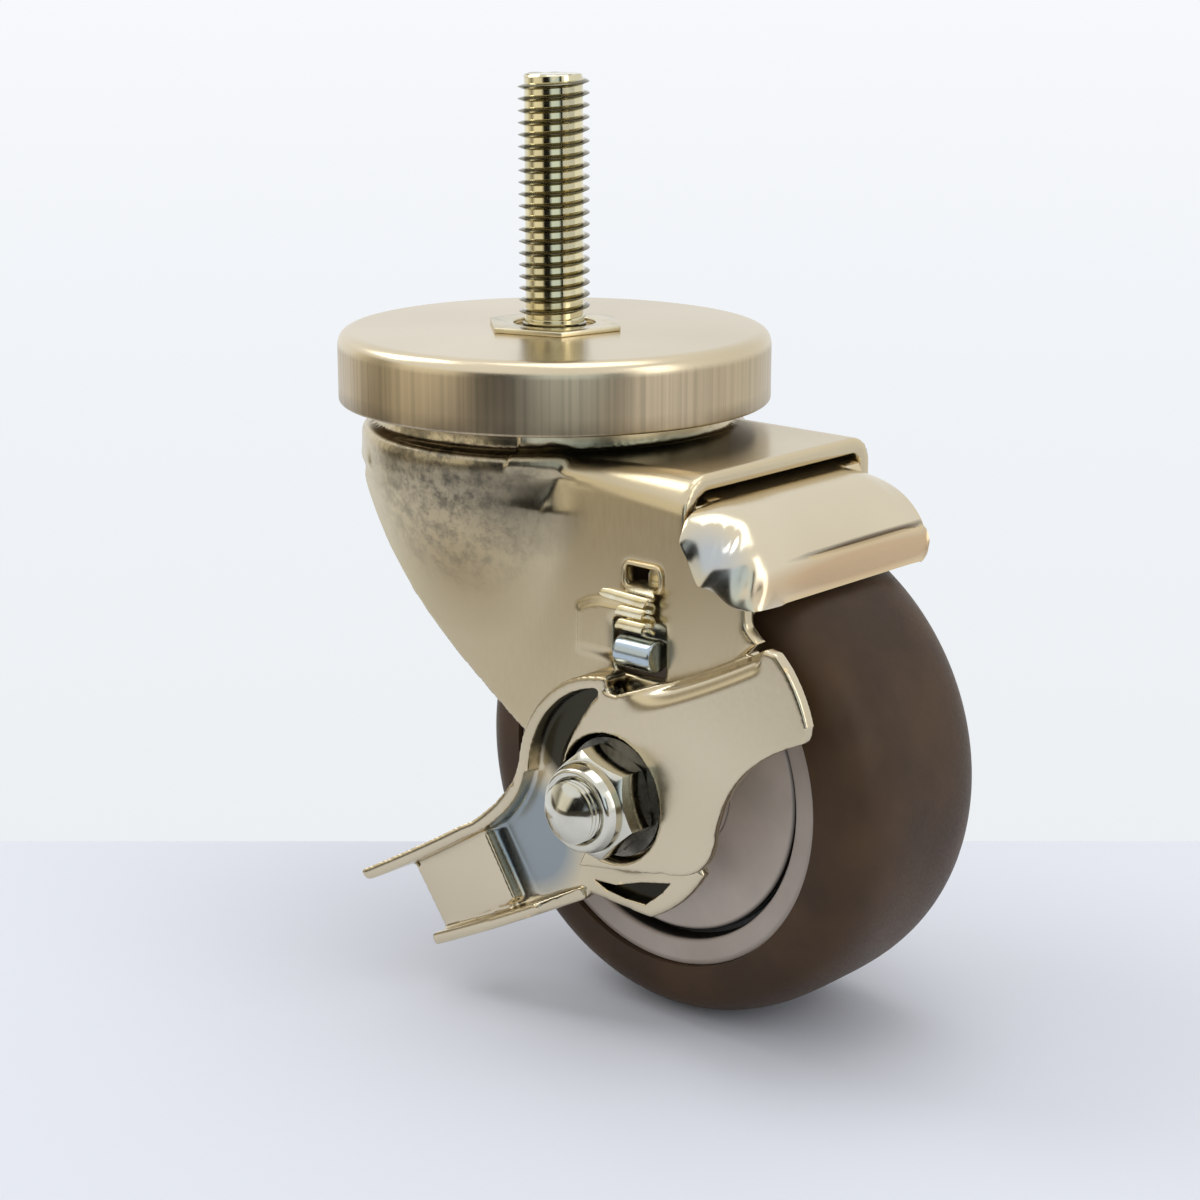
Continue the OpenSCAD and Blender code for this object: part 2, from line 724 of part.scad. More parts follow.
// Side section of the shoe's top and lip, grown inwards by g
module shoe_side(g) {
    top_front = [36.5, roof_under - side_gap - g];
    knee = [46.5, roof_under - side_gap - 1.0 - g];
    crease = [lip_x - 1.6 - g * 0.9, -25.2 - g * 0.8];
    polygon(concat(
        [[36.5 - 10 * g, -60], [36.5 - 10 * g, top_front[1]], top_front],
        bend(knee, [52, -20.6 - g], crease, 6),
        bend(crease, [lip_x - 0.5 - g, -26 - g * 0.6], [lip_x - g, -28.4], 5),
        [[lip_x - g, -60]]));
}

// Front section of the shoe in y and z: open on the far side, folded down on the near side
module shoe_front(g) {
    out = leg_out + side_gap + shoe_t - g;
    far = leg_in - side_gap + g * 20;
    r = max(shoe_fold_r - g, 0.5);
    translate([-out, -80]) square([out + far, 80 - g - r]);
    translate([-out + r, -80]) square([out + far - r, 80 - g]);
    translate([-out + r, -g - r]) circle(r = r);
}

module shoe_body(g) {
    slope = 22;
    intersection() {
        side_sheet(60, 120) shoe_side(g);
        translate([46, 0, roof_under - side_gap - 0.4]) rotate([0, slope, 0]) rotate([90, 0, 90])
            translate([0, 0, -30]) linear_extrude(60) shoe_front(g);
    }
}

// Where the shoe may be: narrow inside the hood, wide behind it, its flange cut along the leg's wing
module shoe_limit() {
    inside = leg_in - 4 * side_gap;
    translate([30, -inside, lip_foot]) cube([40, 2 * inside, 40]);
    near_sheet(leg_out + 8, 12) polygon([
        [hood_length + 0.8, -10], [hood_length + 0.8, -21.4], [48.2, -25.1], [51, -28.3], [56.4, -29.8],
        [lip_x + 0.6, -31.6], [lip_x + 6, -31.6], [lip_x + 6, -10]]);
}

// Cheek that hangs inside the fork and carries one pivot stud
module shoe_cheek_outline(arm) {
    top = roof_under - hood_fold_r + fork_t;
    polygon([[37, top], [45.4, top - 0.3], [45.4, -22.4], [42.6, -24.6], [37.4, -24.6], [36.5, -22]]);
    if (arm)
        polygon(concat([[37, -23], [42.8, -23]],
            bend([42.6, -26], [41.6, -34], [tab_x + tab_length - 0.4, tab_z + 1.6], 5),
            [[tab_x + tab_length - 0.4, tab_z - 1.8], [tab_x + 0.4, tab_z - 1.8], [tab_x + 0.4, tab_z + 1.6]],
            bend([tab_x + 1.4, -34], [36.6, -28], [37, -23], 4)));
}

// The brake shoe: a guard over the tread with a lip, two cheeks and an arm with a rolled tab
module brake_shoe() {
    cheek_out = leg_in - side_gap;
    cheek_in = cheek_out - shoe_t + 0.2;
    tab_y = leg_out + 0.6;
    color(zinc) union() {
        difference() {
            intersection() {
                difference() {
                    shoe_body(0);
                    shoe_body(shoe_t);
                }
                shoe_limit();
            }
            cross_bar(trail, axle_z, wheel_d / 2 + brake_gap, -cheek_in, cheek_in);
        }
        near_sheet(cheek_out, cheek_out - cheek_in) shoe_cheek_outline(true);
        side_sheet(cheek_out, cheek_out - cheek_in) shoe_cheek_outline(false);
        cross_bar(pivot_x, -pivot_drop, stud_d / 2, -leg_in - 1.4, -cheek_in);
        cross_bar(pivot_x, -pivot_drop, stud_d / 2, cheek_in, leg_in + 1.4);
        // arm's end, turned out through the window and rolled
        translate([tab_x, 0, 0]) rotate([90, 0, 90]) linear_extrude(tab_length) {
            translate([-tab_y, tab_z]) circle(r = tab_d / 2, $fn = 48);
            translate([-tab_y, tab_z - 0.9]) square([tab_y - cheek_in, shoe_t]);
        }
    }
}

threaded_stem();
stem_washer();
raceway_cap();
lower_race_cup();
upper_balls();
lower_balls();
fork();
axle_bolt();
axle_washer();
axle_nut();
axle_sleeve();
lever_bush();
return_spring();
tread();
wheel_core();
near_bush();
far_bush();
near_hub_cover();
far_hub_cover();
brake_lever();
brake_shoe();
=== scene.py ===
# %% [markdown]
# # A stem castor with a side lever brake
# The castor is a pressed steel fork that swivels on two rows of balls under a round cap.
# A threaded stem holds it in a furniture leg, a soft tread wheel carries it, and a lever beside
# the wheel presses a sheet metal shoe on the tread.
# The solids come from the CAD model. They stay where their shape is already the real one, and
# pressed, rolled and threaded pieces are modelled again here, in the same frame, in metres.

# %% Load the frame
import math
import bpy
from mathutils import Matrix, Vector


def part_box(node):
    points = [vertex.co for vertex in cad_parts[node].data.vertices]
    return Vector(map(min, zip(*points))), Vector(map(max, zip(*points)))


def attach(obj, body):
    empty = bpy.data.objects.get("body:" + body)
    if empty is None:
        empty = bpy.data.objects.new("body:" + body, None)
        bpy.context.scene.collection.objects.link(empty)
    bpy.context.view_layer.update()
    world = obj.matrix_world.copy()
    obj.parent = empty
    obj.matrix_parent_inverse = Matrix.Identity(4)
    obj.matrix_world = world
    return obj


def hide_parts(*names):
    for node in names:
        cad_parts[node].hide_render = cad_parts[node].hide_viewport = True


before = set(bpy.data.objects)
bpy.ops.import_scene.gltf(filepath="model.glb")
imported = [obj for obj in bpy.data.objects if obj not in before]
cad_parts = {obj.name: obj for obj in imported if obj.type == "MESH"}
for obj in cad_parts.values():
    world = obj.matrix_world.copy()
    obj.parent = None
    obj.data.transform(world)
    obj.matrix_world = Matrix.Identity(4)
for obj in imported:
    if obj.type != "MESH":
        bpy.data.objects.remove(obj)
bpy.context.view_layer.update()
MM = 0.001

# %% [markdown]
# ## Sizes
# The sizes that pieces share are measured on the CAD nodes, in millimetres as on a drawing, so each
# finished piece fits the solid that it replaces.
# The origin is on the swivel axis at the top of the cap, +X is the side the wheel trails to,
# and the lever is on the -Y side.


# %% Sizes in millimetres
def corners_mm(node):
    """The lowest and the highest corner of a CAD node."""
    return [[round(v / MM, 2) for v in corner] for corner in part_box(node)]


cap_low, cap_high = corners_mm("raceway_cap")
washer_low, washer_high = corners_mm("axle_washer")
tread_high = corners_mm("tread")[1]
CAP_R, CAP_H = cap_high[0], -cap_low[2]
AXLE_X = round((washer_low[0] + washer_high[0]) / 2, 2)
AXLE_Z = round((washer_low[2] + washer_high[2]) / 2, 2)
WHEEL_R = round(tread_high[0] - AXLE_X, 2)
TREAD_HALF = tread_high[1]
LEG_OUT, LEG_IN = washer_low[1], corners_mm("axle_sleeve")[1][1]
FLOOR_Z = AXLE_Z - WHEEL_R
print("trail", AXLE_X, "mm, wheel radius", WHEEL_R, "mm")
print("height under the cap's top", round(-FLOOR_Z, 1), "mm")

# %% [markdown]
# ## Camera
# The photograph was taken from the lever side, a little behind the wheel and from above.
# The ellipses of the cap and of the wheel give the place and the lens of the camera.

# %% Camera
# The camera's place is in millimetres from the origin, and LOOK is the way it points
EYE = Vector((270.29, -289.38, 62.09)) * MM
LOOK = Vector((-0.64637, 0.71743, -0.25982))
LENS_MM, SENSOR_MM = 76.23, 36.0
camera_data = bpy.data.cameras.new("photo_camera")
camera_data.sensor_width = SENSOR_MM
camera_data.lens = LENS_MM
camera_data.clip_start = 0.01
camera = bpy.data.objects.new("photo_camera", camera_data)
camera.location = EYE
camera.rotation_euler = LOOK.to_track_quat("-Z", "Y").to_euler()
bpy.context.scene.collection.objects.link(camera)
bpy.context.scene.camera = camera
bpy.context.scene.view_settings.view_transform = "Standard"
print("camera", round(EYE.length / MM), "mm from the origin, with a", LENS_MM, "mm lens")

# %% [markdown]
# ## Helpers for materials
# A picture shows colours as sRGB hex values, and a shader takes linear numbers, so one function
# turns them. A material is a small network. One function adds a node to it, sets it and links its
# inputs, and another starts a material with its shader and the place on the piece, in metres.


# %% Helpers for materials
def colour(text):
    """The linear colour of an sRGB hex value."""
    def channel(i):
        c = int(text[i:i + 2], 16) / 255
        return c / 12.92 if c <= 0.04045 else ((c + 0.055) / 1.055) ** 2.4
    return (channel(1), channel(3), channel(5), 1.0)


def add_node(tree, kind, settings=None, stops=(), **inputs):
    """Adds a node. Inputs go by name, or by number as i0 and i1. Stops are those of a colour ramp."""
    made = tree.nodes.new(kind)
    for key, value in (settings or {}).items():
        setattr(made, key, value)
    for key, value in inputs.items():
        numbered = key[0] == "i" and key[1:].isdigit()
        socket = made.inputs[int(key[1:]) if numbered else key.replace("_", " ")]
        if isinstance(value, bpy.types.NodeSocket):
            tree.links.new(value, socket)
        else:
            socket.default_value = value
    for _ in stops[2:]:
        made.color_ramp.elements.new(0.5)
    for k, (position, tint) in enumerate(stops):
        element = made.color_ramp.elements[k]
        element.position = position
        element.color = colour(tint) if isinstance(tint, str) else (tint, tint, tint, 1.0)
    return made


def new_material(name):
    """A new material, its tree, its shader and the place on the piece in metres."""
    material = bpy.data.materials.new(name)
    material.use_nodes = True
    tree = material.node_tree
    shader = tree.nodes["Principled BSDF"]
    place = add_node(tree, "ShaderNodeTexCoord").outputs["Object"]
    return material, tree, shader, place


def uneven_skin(tree, shader, place, grain_mm, detail, rough, relief, deep_mm):
    """Fine noise that varies the roughness between two values and gives the skin a low relief."""
    noise = add_node(tree, "ShaderNodeTexNoise", Vector=place, Scale=1000.0 / grain_mm, Detail=detail)
    fine = noise.outputs["Fac"]
    share = add_node(tree, "ShaderNodeMapRange", Value=fine, i1=0.3, i2=0.7, i3=rough[0], i4=rough[1])
    tree.links.new(share.outputs[0], shader.inputs["Roughness"])
    bump = add_node(tree, "ShaderNodeBump", Height=fine, Strength=relief, Distance=deep_mm * MM)
    tree.links.new(bump.outputs[0], shader.inputs["Normal"])


TINTS = {"data_type": "RGBA"}

# %% [markdown]
# ## Helpers for meshes
# An operator acts on all that is selected, so each step first selects its own piece and nothing
# else. A mesh is then opened in edit mode, worked on and closed again.


# %% Helpers for meshes
def only(made):
    """Selects one object and makes it the active one."""
    bpy.ops.object.select_all(action="DESELECT")
    bpy.context.view_layer.objects.active = made
    made.select_set(True)


def open_mesh(made):
    """Goes into edit mode with the whole mesh selected."""
    only(made)
    bpy.ops.object.mode_set(mode="EDIT")
    bpy.ops.mesh.select_all(action="SELECT")


def close_mesh():
    """Goes back to object mode."""
    bpy.ops.object.mode_set(mode="OBJECT")


def cut_off(place_mm, direction, fill=True):
    """Cuts the open mesh at a plane and drops what lies beyond it."""
    bpy.ops.mesh.select_all(action="SELECT")
    bpy.ops.mesh.bisect(plane_co=Vector(place_mm) * MM, plane_no=direction, clear_outer=True, use_fill=fill)


# %% [markdown]
# ## Floor
# The castor stands on a pale board, whose far edge is the straight line behind the wheel. One plane
# is enough. Its corners are laid along the camera's view, so the edge is level in the picture.

# %% Floor
# How far the board reaches from the camera's foot, ahead, back and to each side, in metres
FLOOR_END, FLOOR_NEAR, FLOOR_SIDE = 0.436, 4, 3
forward = Vector((LOOK.x, LOOK.y, 0)).normalized()
side = Vector((-forward.y, forward.x, 0))
foot = Vector((EYE.x, EYE.y, FLOOR_Z * MM))
bpy.ops.object.select_all(action="DESELECT")
bpy.ops.mesh.primitive_plane_add(size=1)
floor = bpy.context.object
floor.name = "floor"
floor_corners = [(-FLOOR_NEAR, 1), (-FLOOR_NEAR, -1), (FLOOR_END, 1), (FLOOR_END, -1)]
for vertex, (along, hand) in zip(floor.data.vertices, floor_corners):
    vertex.co = foot + forward * along + side * FLOOR_SIDE * hand
floor_paint, tree, shader, place = new_material("floor_pale_board")
shader.inputs["Base Color"].default_value = colour("#dfe4f0")
shader.inputs["Roughness"].default_value = 0.7
floor.data.materials.append(floor_paint)
print("floor at", round(FLOOR_Z, 1), "mm, ends", FLOOR_END, "m from the camera's foot")

# %% [markdown]
# ## Backdrop and lamps
# A paper backdrop is nearly white and turns a little greyer downwards. The world draws it wherever
# the camera or a mirror looks past the floor, by how steep the ray is. For all other rays the world is
# an even pale room, which keeps the shadows soft.
# Three large soft lamps, above, left and right, give the metal its broad bands.

# %% Backdrop and lamps
world = bpy.data.worlds.new("studio")
bpy.context.scene.world = world
world.use_nodes = True
tree = world.node_tree
tree.nodes.clear()
ray = add_node(tree, "ShaderNodeLightPath")
ray_way = add_node(tree, "ShaderNodeTexCoord").outputs["Generated"]
steep = add_node(tree, "ShaderNodeSeparateXYZ", Vector=ray_way).outputs["Z"]
climb = add_node(tree, "ShaderNodeMapRange", Value=steep, i1=-0.35, i2=-0.03)
paper = add_node(tree, "ShaderNodeValToRGB", Fac=climb.outputs[0],
                 stops=[(0.0, "#ecf0f3"), (0.55, "#f0f3f7"), (1.0, "#f7f9fc")])
backdrop = add_node(tree, "ShaderNodeBackground", Color=paper.outputs["Color"], Strength=1.0)
room = add_node(tree, "ShaderNodeBackground", Color=colour("#eceae6"), Strength=0.92)
seen = ray.outputs["Is Camera Ray"]
for kind in ("Is Glossy Ray", "Is Transmission Ray"):
    either = add_node(tree, "ShaderNodeMath", {"operation": "MAXIMUM"}, i0=seen, i1=ray.outputs[kind])
    seen = either.outputs[0]
mixed = add_node(tree, "ShaderNodeMixShader", i0=seen, i1=room.outputs[0], i2=backdrop.outputs[0])
add_node(tree, "ShaderNodeOutputWorld", Surface=mixed.outputs[0])


def soft_lamp(name, place, target, size, watts):
    """A rectangular lamp that points at a target, in metres."""
    data = bpy.data.lights.new(name, "AREA")
    data.shape = "RECTANGLE"
    data.size, data.size_y = size
    data.energy = watts
    lamp = bpy.data.objects.new(name, data)
    lamp.location = place
    lamp.rotation_euler = (Vector(target) - Vector(place)).to_track_quat("-Z", "Y").to_euler()
    bpy.context.scene.collection.objects.link(lamp)
    print(name, watts, "W")


soft_lamp("top_softbox", (0.05, 0.1, 0.75), (0.02, 0, -0.05), (0.6, 0.45), watts=1.25)
soft_lamp("left_softbox", (-0.62, -0.22, 0.64), (0.0, 0, -0.04), (0.4, 0.5), watts=1.9)
soft_lamp("right_softbox", (0.7, 0.1, 0.25), (0.03, 0, -0.05), (0.25, 0.5), watts=0.6)

# %% [markdown]
# ## Grey card
# Shiny sheet shows the room in front of it, and an empty white room makes it look like paper. A
# curved card stands on the lever side, as a photographer would set it, and only reflections see it.
# It has grey bands. The soft ones low down give the pressed faces their tone, and the strong ones
# higher up streak the stem and the cap's wall. The camera looks down, so a mirror shows what is lower.

# %% Grey card
CARD_R, CARD_TOP, CARD_EDGE_MM = 0.24, 0.06, -50
SOFT_TOP_MM, STRONG_LOW_MM = -56, -45
card_low = FLOOR_Z * MM + 0.001
bpy.ops.object.select_all(action="DESELECT")
bpy.ops.mesh.primitive_cylinder_add(vertices=96, radius=CARD_R, depth=CARD_TOP - card_low,
                                    end_fill_type="NOTHING", location=(0, 0, (CARD_TOP + card_low) / 2))
card = bpy.context.object
card.name = "grey_card"
bpy.ops.object.transform_apply(location=True, rotation=True, scale=True)
open_mesh(card)
cut_off((0, CARD_EDGE_MM, 0), (0, 1, 0), fill=False)
close_mesh()
card_paint, tree, shader, place = new_material("grey_card_cloth")
around = add_node(tree, "ShaderNodeTexGradient", {"gradient_type": "RADIAL"}, Vector=place).outputs["Fac"]
soft_bands = add_node(tree, "ShaderNodeValToRGB", Fac=around, stops=[
    (0.030, "#e9e4da"), (0.055, "#544e43"), (0.095, "#5f584b"), (0.130, "#bfb6a3"), (0.175, "#877f70"),
    (0.225, "#575146"), (0.290, "#3f3b34"), (0.335, "#3c3832"), (0.375, "#48433b"), (0.415, "#6b6355"),
    (0.450, "#978d7c"), (0.470, "#c9c1b2")])
strong_bands = add_node(tree, "ShaderNodeValToRGB", Fac=around, stops=[
    (0.030, "#fbf6e6"), (0.110, "#8f8878"), (0.150, "#fbf6e6"), (0.235, "#efe9d9"), (0.262, "#171614"),
    (0.322, "#1d1c1a"), (0.350, "#dfeefb"), (0.425, "#d9ebf9"), (0.448, "#171614"), (0.480, "#2b2925")])
card_height = add_node(tree, "ShaderNodeSeparateXYZ", Vector=place).outputs["Z"]
upper = add_node(tree, "ShaderNodeMapRange", Value=card_height, i1=SOFT_TOP_MM * MM, i2=STRONG_LOW_MM * MM)
glow = add_node(tree, "ShaderNodeMix", TINTS, i0=upper.outputs[0], i6=soft_bands.outputs["Color"],
                i7=strong_bands.outputs["Color"]).outputs[2]
light = add_node(tree, "ShaderNodeEmission", Color=glow, Strength=1.0)
tree.links.new(light.outputs[0], tree.nodes["Material Output"].inputs["Surface"])
card.data.materials.append(card_paint)
card.visible_camera = card.visible_diffuse = card.visible_shadow = card.visible_transmission = False
print("grey card", CARD_R, "m from the stem, seen by reflections only")

# %% [markdown]
# ## Zinc plated sheet
# The fork, the lever and the shoe are pressed from cold rolled steel and then bright zinc plated
# with a thin pale gold passivation. A plain mirror would look new and thin, so the recipe adds what
# the process leaves: cloudy tone, a brighter cut edge where the sheet bends sharply, fine rolling
# lines and sooty grit. A patch gives a place on the piece another tone, and most patches are painted
# shade and painted reflections, such as the painted dark in a hollow.


# %% Helpers for plated sheet
def patch(tree, place, tint, centre, reach, tone, strength, softness):
    """Another tone inside an egg-shaped place, in mm, that fades out at its edge."""
    scale = [1000.0 / r for r in reach]
    moved = add_node(tree, "ShaderNodeMapping", Vector=place, Scale=scale,
                     Location=[-c * MM * k for c, k in zip(centre, scale)])
    away = add_node(tree, "ShaderNodeVectorMath", {"operation": "LENGTH"}, i0=moved.outputs[0])
    share = add_node(tree, "ShaderNodeMapRange", Value=away.outputs["Value"], i1=1.0 - softness, i2=1.0,
                     i3=strength, i4=0.0)
    mixed = add_node(tree, "ShaderNodeMix", TINTS, i0=share.outputs[0], i6=tint, i7=colour(tone))
    return mixed.outputs[2]


def soot(tree, place, tint, centre, reach):
    """Dark grit that fades with the distance from a place, in mm."""
    grit_mm = 2.381
    away = add_node(tree, "ShaderNodeVectorMath", {"operation": "DISTANCE"}, i0=place,
                    i1=[v * MM for v in centre])
    near = add_node(tree, "ShaderNodeMapRange", Value=away.outputs["Value"], i1=reach * 0.25 * MM,
                    i2=reach * MM, i3=1.0, i4=0.0)
    grit = add_node(tree, "ShaderNodeTexNoise", Vector=place, Scale=1000.0 / grit_mm, Detail=4.0,
                    Roughness=0.75)
    smudge = add_node(tree, "ShaderNodeValToRGB", Fac=grit.outputs["Fac"], stops=[(0.42, 0.0), (0.62, 0.75)])
    dirt = add_node(tree, "ShaderNodeMath", {"operation": "MULTIPLY"}, i0=smudge.outputs["Color"],
                    i1=near.outputs[0])
    mixed = add_node(tree, "ShaderNodeMix", TINTS, i0=dirt.outputs[0], i6=tint, i7=colour("#4c4942"))
    return mixed.outputs[2]


def plated_sheet(name, base, deep, cut_edge, rough, brush_stretch=(1, 1, 1), sooty=None, patches=(),
                 edge_share=1.0):
    """Plated steel sheet in two tones, with a lighter cut edge and rolling lines."""
    # Rolling lines are finer than this and wouldn't show, so they are drawn half a millimetre apart
    cloud_mm, brush_mm, spread = 45.45, 0.5, 0.02
    material, tree, shader, place = new_material(name)
    broad = add_node(tree, "ShaderNodeTexNoise", Vector=place, Scale=1000.0 / cloud_mm, Detail=2.0,
                     Roughness=0.4)
    tint = add_node(tree, "ShaderNodeValToRGB", Fac=broad.outputs["Fac"],
                    stops=[(0.3, deep), (0.62, base)]).outputs["Color"]
    for spot in patches:
        tint = patch(tree, place, tint, *spot)
    bend_of_sheet = add_node(tree, "ShaderNodeNewGeometry").outputs["Pointiness"]
    edge = add_node(tree, "ShaderNodeMapRange", Value=bend_of_sheet, i1=0.53, i2=0.6, i4=edge_share)
    tint = add_node(tree, "ShaderNodeMix", TINTS, i0=edge.outputs[0], i6=tint, i7=colour(cut_edge)).outputs[2]
    if sooty:
        tint = soot(tree, place, tint, *sooty)
    tree.links.new(tint, shader.inputs["Base Color"])
    shader.inputs["Metallic"].default_value = 1.0
    stretch = add_node(tree, "ShaderNodeMapping", Vector=place, Scale=brush_stretch)
    uneven_skin(tree, shader, stretch.outputs[0], brush_mm, 2.0, (rough - spread, rough + spread), 0.03, 0.01)
    print("made", name, "with", len(patches), "patches")
    return material


# %% [markdown]
# ## Finishes of the three pressed pieces
# Each piece has the same sheet with its own places of painted shade and painted reflection, found by
# looking closely, and the fork's bowl has soot too. A patch is its centre and its reach in millimetres,
# its tone, its strength and how soft its edge is.

# %% Finishes of the pressed pieces
# Pressed and plated: a warm grey mirror. The dish under the cap is painted dark and greenish, as
# painted shade and the dark reflection under the cap, and the bowl below it is painted darker, partly
# as the shade under the shoulder's ridge and partly as soot
shaded_dish = ((20, -8, -14.6), (21, 21, 2.6), "#4d5546", 0.85, 0.45)
bowl_shade_and_soot = [((6, -27, -19), (21, 12, 8), "#8b8270", 0.75, 0.9),
              ((17, -27, -22.5), (12, 10, 9), "#766e5d", 0.75, 0.9),
              ((4, -27, -33), (16, 14, 13), "#a18e6b", 0.75, 0.9)]
fork_finish = plated_sheet("zinc_plated_pressed_steel", "#d3c4a4", "#c1b291", "#ecd6a8", rough=0.25,
                           brush_stretch=(1, 1, 0.2), sooty=((4, -25, -18), 21),
                           patches=[shaded_dish] + bowl_shade_and_soot)
# Bent and plated: a brighter mirror, with a painted bluish reflection and shade in the pedal's web, and
# painted shade, nearly black, in its two hollows: the crescent by the rim and the slot above the prong
web_painted_shade_and_reflection = ((16.5, -24.4, -73.5), (12, 2.3, 11), "#8b979d", 0.9, 0.35)
crescent_painted_shade = ((31.5, -24.2, -54.5), (15.5, 2.1, 11.5), "#23241d", 0.95, 0.2)
slot_painted_shade = ((37.6, -23.0, -76.8), (8, 1.05, 5), "#1d1c18", 0.97, 0.1)
lever_finish = plated_sheet("zinc_plated_bent_steel", "#dacdb2", "#c6b99c", "#f0d9ac", rough=0.2,
                            patches=[web_painted_shade_and_reflection, crescent_painted_shade, slot_painted_shade])
# Drawn hard and plated: a painted silver reflection where the sheet was gathered and on the rolled
# tab, painted brown shade along its lip and painted dark shade in the lip's crease
gathers_painted_reflection = ((51, -23, -25), (7, 4, 6), "#b4bcc2", 0.8, 0.7)
tab_painted_reflection = ((37.9, -23, -41), (7, 5, 5), "#b3c2cd", 0.95, 0.3)
lip_painted_shade = ((58.8, 4, -28.6), (2.6, 34, 3.4), "#c09f78", 0.75, 0.5)
crease_painted_shade = ((57.9, 6, -25.6), (1.3, 21, 0.75), "#5d4a35", 0.85, 0.6)
shoe_finish = plated_sheet("zinc_plated_drawn_steel", "#ddd0b5", "#cdc0a2", "#d8bf92", rough=0.2,
                           patches=[gathers_painted_reflection, tab_painted_reflection, lip_painted_shade, crease_painted_shade], edge_share=0.5)

# %% [markdown]
# ## Finish of the turned cap
# The cap is pressed and then spun against a tool, so its top is smooth and its wall has fine
# upright marks, which a noise along the angle round the axis draws. The wall turns darker towards
# its bottom, in clouds.

# %% Turned cap
# Real tool marks are finer and wouldn't show, so they are drawn about a millimetre apart
CAP_CLOUD_MM, LOW_DARK_CLOUD_MM, MARK_MM = 55.56, 11.11, 1.0173
cap_finish, tree, shader, place = new_material("spun_zinc_plated_cap")
broad = add_node(tree, "ShaderNodeTexNoise", Vector=place, Scale=1000.0 / CAP_CLOUD_MM, Detail=2.0)
tint = add_node(tree, "ShaderNodeValToRGB", Fac=broad.outputs["Fac"],
                stops=[(0.35, "#cfc09f"), (0.65, "#ddceb1")])
around = add_node(tree, "ShaderNodeTexGradient", {"gradient_type": "RADIAL"}, Vector=place)
marks = add_node(tree, "ShaderNodeTexNoise", {"noise_dimensions": "1D"}, W=around.outputs["Fac"],
                 Scale=math.tau * CAP_R / MARK_MM, Detail=4.0)
brushed = add_node(tree, "ShaderNodeValToRGB", Fac=marks.outputs["Fac"],
                   stops=[(0.3, "#94877b"), (0.62, "#d6c8bb")])
height = add_node(tree, "ShaderNodeSeparateXYZ", Vector=place).outputs["Z"]
on_wall = add_node(tree, "ShaderNodeMapRange", Value=height, i1=-1.6 * MM, i2=-2.6 * MM)
part = add_node(tree, "ShaderNodeMath", {"operation": "MULTIPLY"}, i0=on_wall.outputs[0], i1=0.5)
tint = add_node(tree, "ShaderNodeMix", {"data_type": "RGBA", "blend_type": "MULTIPLY"}, i0=part.outputs[0],
                i6=tint.outputs["Color"], i7=brushed.outputs["Color"])
# The wall is darkened towards its bottom, in clouds
low_wall = add_node(tree, "ShaderNodeMapRange", Value=height, i1=(2.8 - CAP_H) * MM,
                    i2=(0.4 - CAP_H) * MM, i4=0.55)
cloud = add_node(tree, "ShaderNodeTexNoise", Vector=place, Scale=1000.0 / LOW_DARK_CLOUD_MM, Detail=3.0)
where = add_node(tree, "ShaderNodeValToRGB", Fac=cloud.outputs["Fac"], stops=[(0.38, 0.25), (0.6, 1.0)])
darker_low = add_node(tree, "ShaderNodeMath", {"operation": "MULTIPLY"}, i0=low_wall.outputs[0],
                 i1=where.outputs["Color"])
tint = add_node(tree, "ShaderNodeMix", TINTS, i0=darker_low.outputs[0], i6=tint.outputs[2], i7=colour("#6a6054"))
tree.links.new(tint.outputs[2], shader.inputs["Base Color"])
shader.inputs["Metallic"].default_value = 1.0
rough = add_node(tree, "ShaderNodeMapRange", Value=on_wall.outputs[0], i3=0.24, i4=0.32)
tree.links.new(rough.outputs[0], shader.inputs["Roughness"])
print("made", cap_finish.name)

# %% [markdown]
# ## Fasteners, thread and bearing steel
# The stem is dipped in a yellow passivation, the nut and the bolt have clear zinc, and balls and
# races are hardened steel under grease. All of them are mirrors, so one function makes them. What
# tells them apart is small: two tones in soft patches, and a roughness that handling made uneven.


# %% Other metals
def metal(name, light_tone, dark_tone, rough, patch_mm, spread, wear_mm=0.6):
    """A plated or ground metal in two tones, with uneven roughness and a very low bump."""
    material, tree, shader, place = new_material(name)
    broad = add_node(tree, "ShaderNodeTexNoise", Vector=place, Scale=1000.0 / patch_mm, Detail=3.0)
    tint = add_node(tree, "ShaderNodeValToRGB", Fac=broad.outputs["Fac"],
                    stops=[(0.36, dark_tone), (0.62, light_tone)])
    tree.links.new(tint.outputs["Color"], shader.inputs["Base Color"])
    shader.inputs["Metallic"].default_value = 1.0
    uneven_skin(tree, shader, place, wear_mm, 3.0, (rough - spread, rough + spread), 0.04, 0.01)
    print("made", name)
    return material


# Yellow zinc: a bright mirror whose gold film thins in patches of some millimetres
gold_finish = metal("yellow_passivated_zinc", "#ece0b4", "#d3cbaa", rough=0.11, patch_mm=9.0, spread=0.03)
# The same film on rolled strip, which is duller and even
washer_finish = metal("yellow_passivated_strip", "#ddd1b2", "#cabf9f", rough=0.24, patch_mm=6.0, spread=0.03)
# Bright strip that was plated after it was folded: paler, and worn in wide soft patches
spring_finish = metal("zinc_plated_spring_strip", "#fbf2d4", "#ecdcae", rough=0.26, patch_mm=3.0, spread=0.02,
                      wear_mm=3.0)
# Clear zinc on turned and rolled fasteners: a cool mirror with small dull spots from handling
bright_finish = metal("bright_zinc_fastener", "#dcd9cc", "#cbc8b9", rough=0.13, patch_mm=6.0, spread=0.04)
# Hardened and bare steel under grease: dark, wet-looking, uneven
dull_finish = metal("greased_steel", "#77736a", "#4a4740", rough=0.34, patch_mm=5.0, spread=0.12)
# Ground and polished balls: a clean neutral mirror
ball_finish = metal("ground_bearing_steel", "#cfd0cf", "#bcbdbb", rough=0.1, patch_mm=2.0, spread=0.02)
